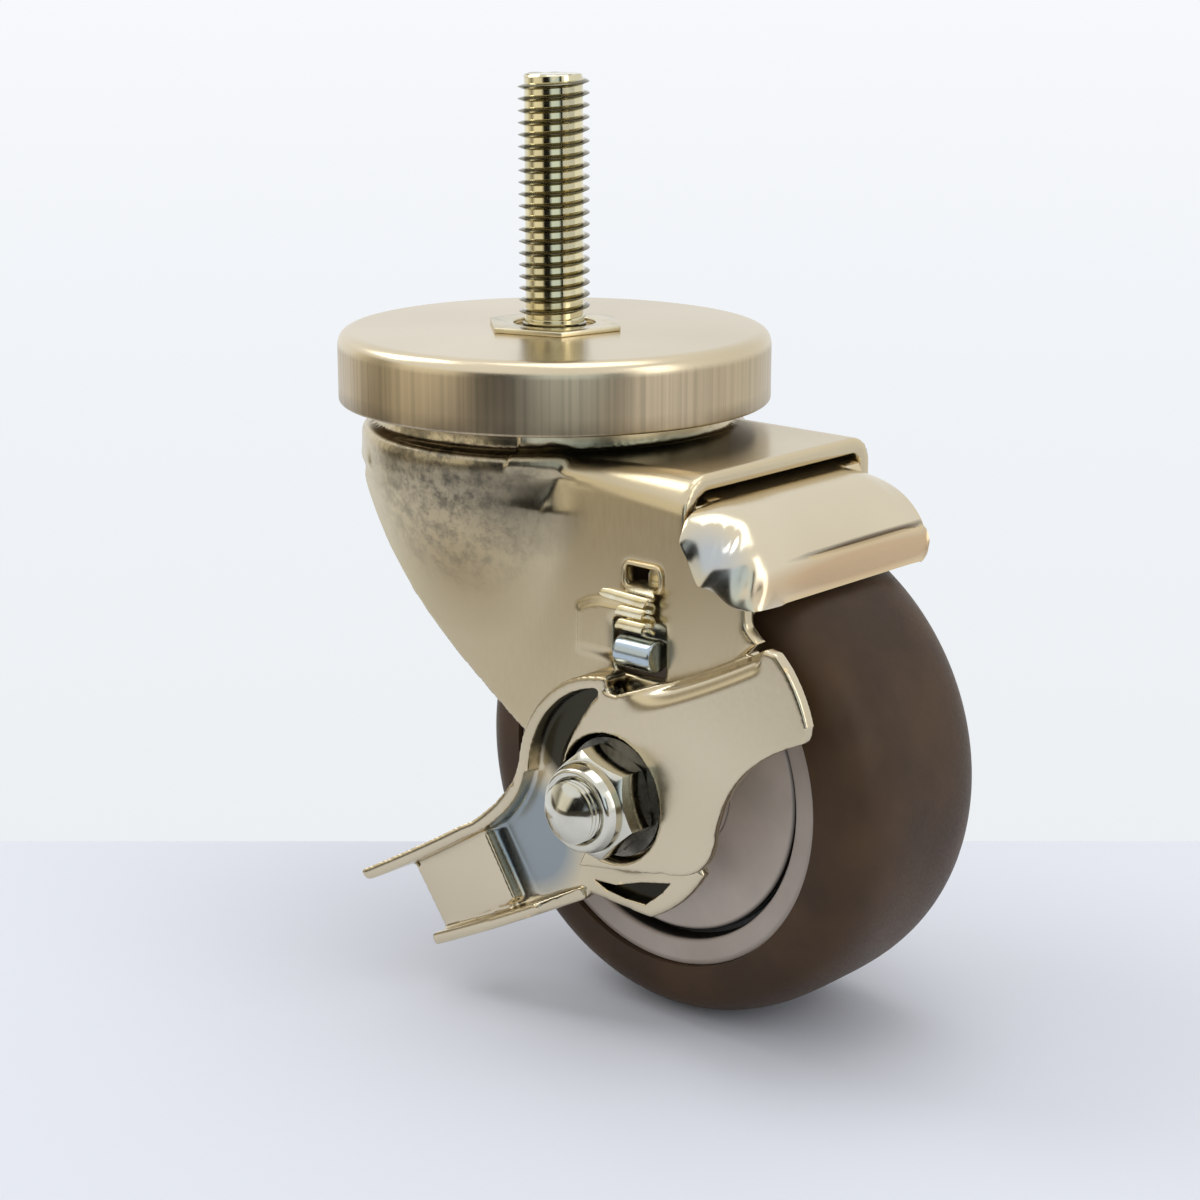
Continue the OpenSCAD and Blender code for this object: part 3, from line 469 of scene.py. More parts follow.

# %% [markdown]
# ## Darker thread outside its roots
# The stem's gold is darkened from just above the thread's roots outwards, over the flanks and the
# crests, so only the roots stay bright. The place is known by its distance from the swivel axis.

# %% Darker thread outside its roots
FLANK_START, FLANK_FULL = 4.62, 4.95
tree = gold_finish.node_tree
shader = tree.nodes["Principled BSDF"]
spot = add_node(tree, "ShaderNodeSeparateXYZ", Vector=add_node(tree, "ShaderNodeTexCoord").outputs["Object"])
flat_spot = add_node(tree, "ShaderNodeCombineXYZ", X=spot.outputs["X"], Y=spot.outputs["Y"])
radius = add_node(tree, "ShaderNodeVectorMath", {"operation": "LENGTH"}, i0=flat_spot.outputs[0])
flank = add_node(tree, "ShaderNodeMapRange", Value=radius.outputs["Value"], i1=FLANK_START * MM,
                 i2=FLANK_FULL * MM, i4=0.8)
plain_gold = shader.inputs["Base Color"].links[0].from_socket
thread_darkened = add_node(tree, "ShaderNodeMix", TINTS, i0=flank.outputs[0], i6=plain_gold, i7=colour("#3a3222"))
tree.links.new(thread_darkened.outputs[2], shader.inputs["Base Color"])
print("thread_darkened", gold_finish.name, "from", FLANK_START, "mm outwards")

# %% [markdown]
# ## Plastics of the wheel
# The tread is a soft rubber-like plastic with a satin skin, the core and its discs are moulded
# polypropylene, and the plain bearings are acetal. A moulded skin copies the mould's fine grain, and
# its tone clouds a little as it cools. One function gives each its tones, shine and grain. The real
# grain is too fine to show, so it is drawn about half a millimetre coarse.


# %% Wheel plastics
def plastic(name, light_tone, dark_tone, rough, patch_mm, grain_mm, grain=0.12, shine=0.5):
    """A moulded plastic in two tones, with a fine grain."""
    material, tree, shader, place = new_material(name)
    broad = add_node(tree, "ShaderNodeTexNoise", Vector=place, Scale=1000.0 / patch_mm, Detail=3.0)
    tint = add_node(tree, "ShaderNodeValToRGB", Fac=broad.outputs["Fac"],
                    stops=[(0.36, dark_tone), (0.64, light_tone)])
    tree.links.new(tint.outputs["Color"], shader.inputs["Base Color"])
    uneven_skin(tree, shader, place, grain_mm, 2.0, (rough - 0.05, rough + 0.07), grain, 0.02)
    shader.inputs["Specular IOR Level"].default_value = shine
    print("made", name)
    return material


# Soft rubber moulded in a polished mould: brown, satin, with a very fine skin
tread_finish = plastic("thermoplastic_rubber_tread", "#4a3622", "#3c2c1d", rough=0.44, patch_mm=14.0,
                       grain_mm=0.5, shine=0.22)
# Moulded polypropylene: warm grey, slightly waxy
core_finish = plastic("moulded_polypropylene_core", "#b3a79e", "#a99d93", rough=0.42, patch_mm=10.0,
                      grain_mm=0.4, grain=0.06)
cover_finish = plastic("moulded_hub_cover", "#c6b9ae", "#b9ada2", rough=0.45, patch_mm=8.0,
                       grain_mm=0.4, grain=0.08)
# Natural acetal: off-white and smooth
bearing_finish = plastic("acetal_bearing", "#e6e2d8", "#dad5c9", rough=0.38, patch_mm=5.0,
                         grain_mm=0.4, grain=0.05)

# %% [markdown]
# ## Painted shade and dust in the wheel's groove
# A ring-shaped groove runs round the hub between the core and its closing disc. Dust gathers there
# and no light gets in, so it looks almost black, and this shade is painted into the plastics' colour
# together with the dust. The two plastics are darkened by the distance from the axle and the depth
# below the wheel's side.


# %% Painted shade and dust in the wheel's groove
def dark_groove(material, r_low, r_high, shallow, deep):
    """Darkens a ring round the axle between two radii, from one distance off the middle to another."""
    edge_mm = 0.25
    tree = material.node_tree
    shader = tree.nodes["Principled BSDF"]
    place = add_node(tree, "ShaderNodeTexCoord").outputs["Object"]
    spot = add_node(tree, "ShaderNodeVectorMath", {"operation": "SUBTRACT"}, i0=place,
                    i1=(AXLE_X * MM, 0, AXLE_Z * MM))
    split = add_node(tree, "ShaderNodeSeparateXYZ", Vector=spot.outputs[0])
    flat_spot = add_node(tree, "ShaderNodeCombineXYZ", X=split.outputs["X"], Z=split.outputs["Z"])
    radius = add_node(tree, "ShaderNodeVectorMath", {"operation": "LENGTH"}, i0=flat_spot.outputs[0])
    depth = add_node(tree, "ShaderNodeMath", {"operation": "ABSOLUTE"}, i0=split.outputs["Y"])
    share = add_node(tree, "ShaderNodeMapRange", Value=depth.outputs[0], i1=shallow * MM, i2=deep * MM)
    for start, end in ((r_low, r_low + edge_mm), (r_high, r_high - edge_mm)):
        ring = add_node(tree, "ShaderNodeMapRange", Value=radius.outputs["Value"], i1=start * MM, i2=end * MM)
        share = add_node(tree, "ShaderNodeMath", {"operation": "MULTIPLY"}, i0=share.outputs[0],
                         i1=ring.outputs[0])
    # The groove's shade and dust are painted here, almost black
    clean = shader.inputs["Base Color"].links[0].from_socket
    made = add_node(tree, "ShaderNodeMix", TINTS, i0=share.outputs[0], i6=clean, i7=colour("#1d1916"))
    tree.links.new(made.outputs[2], shader.inputs["Base Color"])
    print("darkened", material.name, "from", r_low, "to", r_high, "mm")


dark_groove(core_finish, r_low=23.6, r_high=25.4, shallow=14.7, deep=14.0)
dark_groove(cover_finish, r_low=23.3, r_high=24.5, shallow=13.65, deep=13.3)

# %% [markdown]
# ## Pressed sheet
# A press draws, folds and stamps a flat blank, so every inner corner is a soft radius and every cut
# edge is slightly rolled. The CAD solid has the right places but sharp joins. A copy of it is merged,
# remeshed into even small quads and relaxed, which melts the joins into one sheet.


# %% Helpers for pressed sheet
def apply_all(made):
    """Applies the modifiers from the first to the last."""
    only(made)
    for modifier in list(made.modifiers):
        bpy.ops.object.modifier_apply(modifier=modifier.name)


def merged_copy(node, name):
    """A copy of a CAD node whose loose triangles are joined into one skin."""
    made = bpy.data.objects.new(name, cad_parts[node].data.copy())
    bpy.context.scene.collection.objects.link(made)
    made.data.materials.clear()
    open_mesh(made)
    bpy.ops.mesh.remove_doubles(threshold=0.000002)
    close_mesh()
    return made


def melt(made, voxel_mm, rounds):
    """Remeshes a piece into even quads and relaxes them, so sharp joins turn into soft radii."""
    remesh = made.modifiers.new("even_quads", "REMESH")
    remesh.mode = "VOXEL"
    remesh.voxel_size = voxel_mm * MM
    relax = made.modifiers.new("relax", "SMOOTH")
    relax.factor = 0.5
    relax.iterations = rounds
    apply_all(made)
    bpy.ops.object.shade_smooth()
    return made


def smooth_under(angle):
    """Smooth shading across every edge that is flatter than an angle in degrees."""
    bpy.ops.object.shade_smooth_by_angle(angle=math.radians(angle))


def roll_edges(made, width_mm, segments, angle):
    """Rounds the edges that are sharper than an angle in degrees."""
    rolled = made.modifiers.new("rolled_edge", "BEVEL")
    rolled.width, rolled.segments, rolled.angle_limit = width_mm * MM, segments, math.radians(angle)
    apply_all(made)


def cut_with(made, cutter, operation="DIFFERENCE"):
    """Cuts a piece with a closed shape, and drops the shape."""
    cut = made.modifiers.new("cut", "BOOLEAN")
    cut.operation, cut.solver, cut.object = operation, "EXACT", cutter
    apply_all(made)
    bpy.data.objects.remove(cutter, do_unlink=True)


def place_on(made, body, finish, node):
    """Gives a finished piece its material and its body, and hides the CAD node that it stands for."""
    made.data.materials.clear()
    made.data.materials.append(finish)
    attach(made, body)
    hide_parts(node)
    made.data.calc_loop_triangles()
    print(made.name, "rides", body, "with", len(made.data.loop_triangles), "triangles")


def mesh_object(name, points, edges=(), faces=()):
    """A new object from points in metres."""
    mesh = bpy.data.meshes.new(name)
    mesh.from_pydata(points, edges, faces)
    made = bpy.data.objects.new(name, mesh)
    bpy.context.scene.collection.objects.link(made)
    return made


def curve(a, b, c, n=12):
    """Points on a curve from a to c that is pulled towards b."""
    a, b, c = Vector(a), Vector(b), Vector(c)
    return [(1 - k / n) ** 2 * a + 2 * (k / n) * (1 - k / n) * b + (k / n) ** 2 * c for k in range(n + 1)]


def ease(value, low, high):
    """Goes softly from 0 at low to 1 at high."""
    t = min(1.0, max(0.0, (value - low) / (high - low)))
    return t * t * (3 - 2 * t)


def sheet_from_rows(name, rows, thick_mm, keep=None, offset=-1.0):
    """Rows of points in mm become a surface, which Solidify makes into sheet."""
    count = len(rows[0])
    faces = []
    for i in range(len(rows) - 1):
        for j in range(count - 1):
            if keep is None or keep(i, j):
                k = i * count + j
                faces.append((k, k + 1, k + count + 1, k + count))
    made = mesh_object(name, [Vector(q) * MM for row in rows for q in row], faces=faces)
    open_mesh(made)
    bpy.ops.mesh.delete_loose()
    close_mesh()
    thick = made.modifiers.new("sheet", "SOLIDIFY")
    thick.thickness, thick.offset = thick_mm * MM, offset
    apply_all(made)
    return made


def joined(first, *others):
    """Joins other pieces to the first."""
    only(first)
    for made in others:
        made.select_set(True)
    bpy.ops.object.join()


# %% [markdown]
# ## Fork
# The fork is one blank, drawn into a crown and a dished shoulder and folded down into two legs.
# Three things come from the press and not from the solid: the shoulder runs out into the flat of the
# leg without a line, a shallow pad is pressed out round the spring, and the hood's fold grows from a
# sharp start at the dish to a wide radius at its mouth. All are drawn into the points of the
# remeshed sheet.

# %% Shapes that the press leaves on the fork
# The bowl under the cap as radius over height, from its top down to the flat of the legs
DISH_TOP, BOWL_TOP, BOWL_LOW = -14.4, -16.9, -44.0
BOWL_R = -corners_mm("fork")[0][0]
bowl = curve((BOWL_R, BOWL_TOP), (29.5, -27.0), (LEG_OUT, BOWL_LOW), 40)
# How fast the radius shrinks under the bowl, and where the soft run-out starts and is full
BOWL_NARROWS, RUN_OUT_BELOW, RUN_OUT_GROWS = 0.44, 0.5, 5.0
# The pad's depth, where its two sides rise and fade in x, and where it ends in z
PAD_DEEP, PAD_LEFT, PAD_FADE, PAD_TOP, PAD_LOW = 0.55, (24.6, 25.6), (33.0, 40.0), -34.2, (-43.6, -42.0)
# The radius of the hood's fold in the solid, its radius at the start, its growth, and from x to x
FOLD_R, FOLD_START_R, FOLD_GROWS, FOLD_X, HOOD_X = 4.0, 2.2, 3.4, 16.0, 45.5


def bowl_radius(z):
    """Radius of the drawn shoulder round the swivel axis at a height."""
    for low, high in zip(bowl[1:], bowl):
        if low.y <= z <= high.y:
            t = (z - low.y) / (high.y - low.y)
            return low.x + t * (high.x - low.x)
    return LEG_OUT + BOWL_NARROWS * (z - BOWL_LOW) if z < BOWL_LOW else BOWL_R


def run_out(x, z, width=2.3):
    """How far the shoulder's foot is filled where it meets the flat of the leg."""
    r = bowl_radius(z)
    over = math.sqrt(r * r - x * x) - LEG_OUT if abs(x) < r else -20.0
    full = width * math.log1p(math.exp(over / width))
    start = min(1.0, max(0.0, (BOWL_TOP - RUN_OUT_BELOW - z) / RUN_OUT_GROWS))
    return (full - max(over, 0.0)) * start * start


def emboss(x, z):
    """A shallow pad pressed out round the spring, with an upright left edge and an arched top."""
    top = PAD_TOP - 0.05 * min(x - 31.0, 0.0) ** 2
    sides = ease(x, *PAD_LEFT) * (1 - ease(x, *PAD_FADE))
    return PAD_DEEP * sides * (1 - ease(z, top - 0.9, top)) * ease(z, *PAD_LOW)


def open_fold(y, z, big):
    """Moves a point of the hood's fold onto a fold of another radius."""
    cy, cz = LEG_OUT - big, DISH_TOP - big
    if y < cy or z < cz:
        return y, z
    sy, sz = LEG_OUT - FOLD_R, DISH_TOP - FOLD_R
    if y > sy and z > sz:
        depth = FOLD_R - math.hypot(y - sy, z - sz)
    else:
        depth = DISH_TOP - z if y <= sy else LEG_OUT - y
    away = Vector((y - cy, z - cz))
    if away.length < 0.01:
        return y, z
    away = away.normalized() * (big - depth)
    return cy + away.x, cz + away.y


# %% [markdown]
# ## Fork as one sheet
# The solid is melted first. Then the points near the legs are moved out by the run-out and the pad,
# and those of the hood's fold are moved onto their new radius.

# %% Fork
fork = melt(merged_copy("fork", "pressed_fork"), voxel_mm=0.52, rounds=5)
for vertex in fork.data.vertices:
    x, y, z = vertex.co / MM
    if abs(y) > LEG_IN - 1 and z < BOWL_TOP:
        y += math.copysign(run_out(x, z), y)
        y -= emboss(x, z) if y < 0 else 0.0
    if y < -10 and x > 15.0:
        share = min(1.0, max(0.0, (x - FOLD_X) / (HOOD_X - FOLD_X)))
        flipped, z = open_fold(-y, z, FOLD_START_R + FOLD_GROWS * share)
        y = -flipped
    vertex.co = Vector((x, y, z)) * MM
print("fork drawn out from", BOWL_R, "mm at the shoulder to", LEG_OUT, "mm at the legs")

# %% [markdown]
# ## Bead round the leg's window
# The spring hooks into a small window in the near leg. The punch throws up a round bead along its rim.
# A closed curve with a round bevel is the quickest way to lay a wire on a rounded rectangle, and it is
# turned into mesh before it is joined to the sheet.

# %% Bead round the window
WINDOW_LEFT, WINDOW_LOW, WINDOW_W, WINDOW_H, WINDOW_R, BEAD_R = 34.2, -31.8, 7.0, 3.8, 1.2, 0.42
bead_y = -LEG_OUT - 0.05
near_x, far_x = WINDOW_LEFT + WINDOW_R, WINDOW_LEFT + WINDOW_W - WINDOW_R
low_z, high_z = WINDOW_LOW + WINDOW_R, WINDOW_LOW + WINDOW_H - WINDOW_R
points = []
for cx, cz, start in ((far_x, high_z, 0), (near_x, high_z, 90), (near_x, low_z, 180), (far_x, low_z, 270)):
    for k in range(7):
        a = math.radians(start + 15 * k)
        points.append((cx + WINDOW_R * math.cos(a), bead_y, cz + WINDOW_R * math.sin(a)))
bead_line = bpy.data.curves.new("window_bead", "CURVE")
bead_line.dimensions, bead_line.bevel_depth, bead_line.bevel_resolution = "3D", BEAD_R * MM, 3
line = bead_line.splines.new("POLY")
line.points.add(len(points) - 1)
for point, place_mm in zip(line.points, points):
    point.co = (*[v * MM for v in place_mm], 1)
line.use_cyclic_u = True
bead = bpy.data.objects.new("window_bead", bead_line)
bpy.context.scene.collection.objects.link(bead)
only(bead)
bpy.ops.object.convert(target="MESH")
joined(fork, bpy.context.object)
bpy.ops.object.shade_smooth()
place_on(fork, "fork", fork_finish, "fork")

# %% [markdown]
# ## Brake lever
# The lever is one stamping: a plate raised round the nut, a cupped rim, and a pedal in the form of
# a channel. The solid's walls are drawn again as curved strips, so the pedal's two flanges and the
# step between the levels close, and then the whole is remeshed and relaxed into one sheet.


# %% Helpers for the lever
def at_axle(x, z):
    """A place given from the axle, as x and z."""
    return (AXLE_X + x, AXLE_Z + z)


def wall_strip(name, line, y_in, y_out, thick_mm, rows=10):
    """A strip on edge along a line in x and z, from y_in to y_out, which may change along it."""
    made_rows = []
    for k in range(rows + 1):
        row = []
        for i, q in enumerate(line):
            share = i / (len(line) - 1)
            low = y_in[0] + (y_in[1] - y_in[0]) * share
            high = y_out[0] + (y_out[1] - y_out[0]) * share
            row.append((q[0], -(low + (high - low) * k / rows), q[1]))
        made_rows.append(row)
    return sheet_from_rows(name, made_rows, thick_mm, offset=0.0)


def drawn_out(line, before, after):
    """The same line, longer at both ends."""
    head = line[0] + (line[0] - line[1]).normalized() * before
    tail = line[-1] + (line[-1] - line[-2]).normalized() * after
    return [head] + line + [tail]


def slope_row(top_line, foot_line, t, level):
    """A row of points at a depth, between a line along the pedal's top and one along its foot."""
    top_point = Vector(at_axle(*top_line[0])).lerp(Vector(at_axle(*top_line[1])), t)
    foot_point = Vector(at_axle(*foot_line[0])).lerp(Vector(at_axle(*foot_line[1])), t)
    return [(q.x, -level, q.y) for q in (top_point.lerp(foot_point, m / 10) for m in range(11))]


# %% Brake lever
# The cut edge along the pedal's top, and the one along its foot
top_line = (curve(at_axle(-17.2, 0.4), at_axle(-18.4, -5.6), at_axle(-24.6, -10.6), 16)
            + curve(at_axle(-26.4, -11.6), at_axle(-34, -16.6), at_axle(-41.6, -20.8), 16))
low_line = curve(at_axle(-34.6, -29.9), at_axle(-24, -25), at_axle(-7.4, -16.4), 32)
lower_line = [q + Vector((0.44, -0.86)) for q in low_line]
seam_line = [q + Vector((-0.16, 0.31)) for q in low_line]
# The lower flange, and two seams that close it to the pedal's floor and to the web
lower = wall_strip("lower_flange", lower_line, (25.4, 22.6), (29.9, 26.4), 1.95)
floor_seam = wall_strip("floor_seam", seam_line[:20], (25.5, 25.5), (26.9, 26.9), 1.7)
web_seam = wall_strip("web_seam", seam_line[15:], (22.6, 22.6), (24.1, 24.1), 1.7)
# The slope between the pedal's floor and the web, and the flat that follows it
slope_rows = [slope_row(((-28.6, -11.9), (-24.4, -9.3)), ((-23.6, -24.8), (-15.6, -20.6)), k / 8,
                        26.2 - 2.9 * ease(k / 8, 0, 1)) for k in range(9)]
slope_rows += [slope_row(((-24.4, -9.3), (-20.4, -5.4)), ((-15.6, -20.6), (-14, -12)), k / 4, 23.3)
               for k in range(1, 5)]
slope = sheet_from_rows("slope_between_levels", slope_rows, 1.9, offset=0.0)
lever = merged_copy("brake_lever", "pressed_lever")
joined(lever, lower, floor_seam, web_seam, slope)
melt(lever, voxel_mm=0.32, rounds=12)
print("lever melted into", len(lever.data.polygons), "quads")

# %% [markdown]
# ## Slot above the lever's prong
# The prong under the nut stands clear of the outer plate, which leaves a dark slot. A boolean cuts it.

# %% Slot above the prong
SLOT_NEAR, SLOT_FAR = -25.4, -22.7
slot_outline = [(30.4, -77.6), (34.7, -77.3), (39.6, -75.6), (45.3, -74.3), (43.8, -76.2), (40.5, -78.9),
                (36.6, -79.0), (32.9, -78.6)]
count = len(slot_outline)
slot_ends = [tuple(range(count)), tuple(range(2 * count - 1, count - 1, -1))]
slot_sides = [(i, i + count, (i + 1) % count + count, (i + 1) % count) for i in range(count)]
slot_points = [Vector((x, y, z)) * MM for y in (SLOT_NEAR, SLOT_FAR) for x, z in slot_outline]
slot_cutter = mesh_object("slot_cutter", slot_points, faces=slot_ends + slot_sides)
open_mesh(slot_cutter)
bpy.ops.mesh.normals_make_consistent(inside=False)
close_mesh()
cut_with(lever, slot_cutter)
print("slot cut", round(SLOT_FAR - SLOT_NEAR, 1), "mm deep")

# %% [markdown]
# ## Crisp flanges on the lever
# The melted sheet is soft everywhere. A press leaves even walls and straight cut edges, so the points
# of the two pedal flanges are drawn on their lines, and their crests follow the cut from the tip down.


# %% Helpers for the flanges
def beside(line, x, z):
    """Distance to a line, the foot point on it, the way across it, and how far across the place lies."""
    best = None
    here = Vector((x, z))
    for a, b in zip(line, line[1:]):
        along = b - a
        t = min(1.0, max(0.0, (here - a).dot(along) / max(along.length_squared, 1e-9)))
        foot_point = a + along * t
        gap = (here - foot_point).length
        if best is None or gap < best[0]:
            across_it = Vector((-along.y, along.x)).normalized()
            best = (gap, foot_point, across_it, (here - foot_point).dot(across_it))
    return best


def crest(points, x):
    """Depth of a flange's cut edge, from a list of (x from the axle, depth) pairs."""
    rel = x - AXLE_X
    for (xa, ya), (xb, yb) in zip(points, points[1:]):
        if xa <= rel <= xb:
            return ya + (yb - ya) * (rel - xa) / (xb - xa)
    return points[0][1] if rel < points[0][0] else points[-1][1]


# %% Crisp flanges
# The depth of each flange's cut edge, at places given from the axle
TOP_CREST = [(-43.6, -38.0), (-24, -29.4), (-19, -27.2)]
LOW_CREST = [(-40, -30.2), (-22, -30.2), (-6, -27.3)]
FLANGE_HALF, FLANGE_SHIFT, FLANGE_FOOT = 1.0, -0.97, 27.3
WEB_FRONT, WEB_SETTLES = 24.3, 0.75
top_line, low_line = drawn_out(top_line, 0.0001, 4), drawn_out(low_line, 4, 4)
for vertex in lever.data.vertices:
    x, y, z = vertex.co / MM
    if y > -WEB_FRONT - 0.1 or x > AXLE_X - 4:
        continue
    if x > AXLE_X - 17 and z < AXLE_Z - 13 and beside(low_line, x, z)[0] < 2.6:
        y = -WEB_FRONT + (y + WEB_FRONT) * (1 - WEB_SETTLES * ease(x, AXLE_X - 15, AXLE_X - 7))
        vertex.co.y = y * MM
    if y > -FLANGE_FOOT:
        continue
    for line, points in ((top_line, TOP_CREST), (low_line, LOW_CREST)):
        gap, foot_point, across_it, side_gap = beside(line, x, z)
        side_gap -= FLANGE_SHIFT
        if abs(side_gap) > 2.2 or gap > 3.0:
            continue
        limit = crest(points, x)
        rise = ease(-y, FLANGE_FOOT, FLANGE_FOOT + 0.6)
        flat = min(FLANGE_HALF, max(-FLANGE_HALF, side_gap))
        moved = side_gap + (flat - side_gap) * rise
        drawn = foot_point + across_it * (moved + FLANGE_SHIFT)
        vertex.co.x, vertex.co.z = drawn.x * MM, drawn.y * MM
        if y < limit + 0.5:
            vertex.co.y = (limit + 0.3 * (flat / FLANGE_HALF) ** 2) * MM
        break
print("flanges drawn to", 2 * FLANGE_HALF, "mm")

# %% [markdown]
# ## Folded edge of the arm
# The arm's upper edge is folded back, which stiffens it. The sheet's points near the edge are laid on
# an arc by how far below the edge they are.

# %% Folded edge of the arm
ARM_FOLD_R, ARM_SLANT, ARM_FRONT = 2.9, 0.84, 25.6
arm_edge = curve(at_axle(2, 15.9), at_axle(16, 21), at_axle(28.5, 28.2), 30)


def arm_edge_z(x):
    """Height of the arm's upper edge, far above where there is no arm."""
    for a, b in zip(arm_edge, arm_edge[1:]):
        if a.x <= x <= b.x:
            return a.y + (b.y - a.y) * (x - a.x) / (b.x - a.x)
    return 100.0


for vertex in lever.data.vertices:
    x, y, z = vertex.co / MM
    below = (arm_edge_z(x) - z) * ARM_SLANT
    if below < ARM_FOLD_R and y < -ARM_FRONT:
        turned = ARM_FOLD_R - math.sqrt(max(ARM_FOLD_R ** 2 - (ARM_FOLD_R - max(below, 0.15)) ** 2, 0.0))
        ends = ease(x, AXLE_X + 2, AXLE_X + 12) * (1 - ease(x, AXLE_X + 26.5, AXLE_X + 28.4))
        vertex.co.y += turned * ends * ease(-y, ARM_FRONT, ARM_FRONT + 1) * MM
place_on(lever, "lever", lever_finish, "brake_lever")

# %% [markdown]
# ## Brake shoe
# The shoe is a guard over the tread. Its top is flat and ends in a creased lip. On the near side the
# sheet flows down over the edge and is gathered, which leaves a few crumpled facets and a wavy edge.
# A primitive has no such form, so the surface is drawn row by row: each row starts at the far edge,
# crosses the top and then follows a curve down to the near edge.

# %% Lines of the shoe
SHOE_T, SHOE_FRONT, MOUTH_X, LIP_X, LIP_FOOT = 1.8, 36.5, 46.3, 59.1, -31.3
TOP_Z, NEAR_LINE, FAR_LINE, TREAD_GAP_R = -17.25, -15.0, 18.9, 39.6
TOP_STEPS, FOLD_STEPS, FRONT_STEPS = 30, 22, 8
# The lip is creased over most of its width and turns smooth towards the near fold
creased = (curve((MOUTH_X, -18.2), (53.4, -19.1), (57.8, -24.6), 22)
           + [Vector(q) for q in ((58.0, -25.0), (57.95, -25.5), (57.75, -25.8), (58.25, -26.15),
                                  (58.6, -26.7))]
           + curve((58.7, -27.2), (59.0, -29), (LIP_X, LIP_FOOT), 7)[1:])
smooth = curve((MOUTH_X, -18.2), (58.6, -19.2), (LIP_X, LIP_FOOT), len(creased) - 1)
front = []
for k in range(FRONT_STEPS + 1):
    t = k / FRONT_STEPS
    front.append(Vector((SHOE_FRONT + (MOUTH_X - 0.15 - SHOE_FRONT) * t, TOP_Z - 0.95 * t ** 3)))
near_edge = curve((46.5, -23.6, -21.6), (47.4, -24.7, -24.6), (50.6, -24.6, -27.9), 14)
near_edge += curve((50.6, -24.6, -27.9), (53.6, -24.4, -29.8), (58.4, -21.9, LIP_FOOT),
                   len(creased) - len(near_edge))[1:]
print("the lip is drawn with", len(creased), "points, from x", MOUTH_X, "to", LIP_X, "mm")


def across(j):
    """Share of the top's width at a step. The steps are closer at the far edge."""
    t = min(j, TOP_STEPS) / TOP_STEPS
    return t * (0.35 + 0.65 * t)


def fold_pull(share):
    """The point that pulls each row's curve out over the near edge."""
    x = MOUTH_X + 0.2 + 13.0 * math.sin(share * math.pi / 2) ** 1.1
    z = -18.4 - 12.6 * share ** 2.2
    return Vector((x, -24.0 + 1.4 * share ** 3, z))


def gather(share, t):
    """Depth in mm of the crumpled facets at a place on the near fold."""
    first = math.exp(-((share - 0.36) / 0.13) ** 2 - ((t - 0.5) / 0.22) ** 2)
    second = math.exp(-((share - 0.78) / 0.12) ** 2 - ((t - 0.62) / 0.24) ** 2)
    pleat = abs(((share * 1.5 - t * 0.7) * 6.5) % 2 - 1)
    return 1.25 * first * (0.35 + 0.65 * pleat) + 0.8 * second * (0.4 + 0.6 * pleat)


# %% [markdown]
# ## Rows of the shoe
# The first rows are the flat top under the hood. The others step outwards over the lip to its foot.
# Each droops a little at the far edge and flows down at the near one, pushed in where it is gathered.

# %% Rows of the shoe
rows = []
for q in front:
    row = []
    for j in range(TOP_STEPS + FOLD_STEPS + 1):
        past_fold = max(0, j - TOP_STEPS) / FOLD_STEPS
        y = FAR_LINE - 0.7 + (NEAR_LINE - FAR_LINE + 0.7) * across(j) - 2.2 * past_fold
        row.append((q.x, y, q.y))
    rows.append(row)
inward = Vector((-0.35, 0.75, -0.55))
for i, (sharp, soft) in enumerate(zip(creased, smooth)):
    share = i / (len(creased) - 1)
    row = []
    for j in range(TOP_STEPS + 1):
        y = FAR_LINE + (NEAR_LINE - FAR_LINE) * across(j)
        q = soft.lerp(sharp, ease(y, -15.0, -6.0) * (0.3 + 0.7 * ease(FAR_LINE - y, 0.0, 2.5)))
        droop = 0.045 * max(0.0, y - 13.0) ** 2 * (1 - share * 0.6)
        corner = max(0.0, 1 - (FAR_LINE - y) / 3.4)
        lift = 3.4 * (1 - math.sqrt(1 - corner ** 2)) * max(0.0, (-25.0 - q.y) / (-25.0 - LIP_FOOT))
        row.append(Vector((q.x, y, q.y - droop + lift)))
    start, pull, end = row[-1], fold_pull(share), near_edge[i]
    end = end + Vector((0, -0.45 * math.sin(share * 17.0) * (1 - share), 0.35 * math.sin(share * 13.0)))
    for j in range(1, FOLD_STEPS + 1):
        t = j / FOLD_STEPS
        q = (1 - t) ** 2 * start + 2 * t * (1 - t) * pull + t * t * end
        row.append(q + inward * gather(share, t) - Vector((0, 0.5 * t ** 6, 0)))
    rows.append([tuple(q) for q in row])
print("shoe drawn in", len(rows), "rows of", len(rows[0]), "points")

# %% [markdown]
# ## Brake shoe as sheet
# Solidify gives the surface its wall. Where the wall would rub on the tread it is pushed out to a
# clear radius. The cheeks that hang between the legs, with the rolled tab, are melted from the CAD
# solid and joined.

# %% Brake shoe
ROOF_CUT, MOUTH_CUT = -18.8, 45.4
shoe = sheet_from_rows("guard_sheet", rows, SHOE_T, keep=lambda i, j: i != len(front) - 1 or j < TOP_STEPS)
for vertex in shoe.data.vertices:
    x, y, z = vertex.co / MM
    out = math.hypot(x - AXLE_X, z - AXLE_Z)
    if out < TREAD_GAP_R and abs(y) < TREAD_HALF + 1:
        vertex.co.x = (AXLE_X + (x - AXLE_X) * TREAD_GAP_R / out) * MM
        vertex.co.z = (AXLE_Z + (z - AXLE_Z) * TREAD_GAP_R / out) * MM
open_mesh(shoe)
bpy.ops.mesh.normals_make_consistent(inside=False)
close_mesh()
roll_edges(shoe, width_mm=0.35, segments=3, angle=50)
cheeks = merged_copy("brake_shoe", "cheeks")
open_mesh(cheeks)
cut_off((0, 0, ROOF_CUT), (0, 0, 1))
cut_off((MOUTH_CUT, 0, 0), (1, 0, 0))
close_mesh()
melt(cheeks, voxel_mm=0.3, rounds=5)
joined(shoe, cheeks)
smooth_under(60)
place_on(shoe, "shoe", shoe_finish, "brake_shoe")

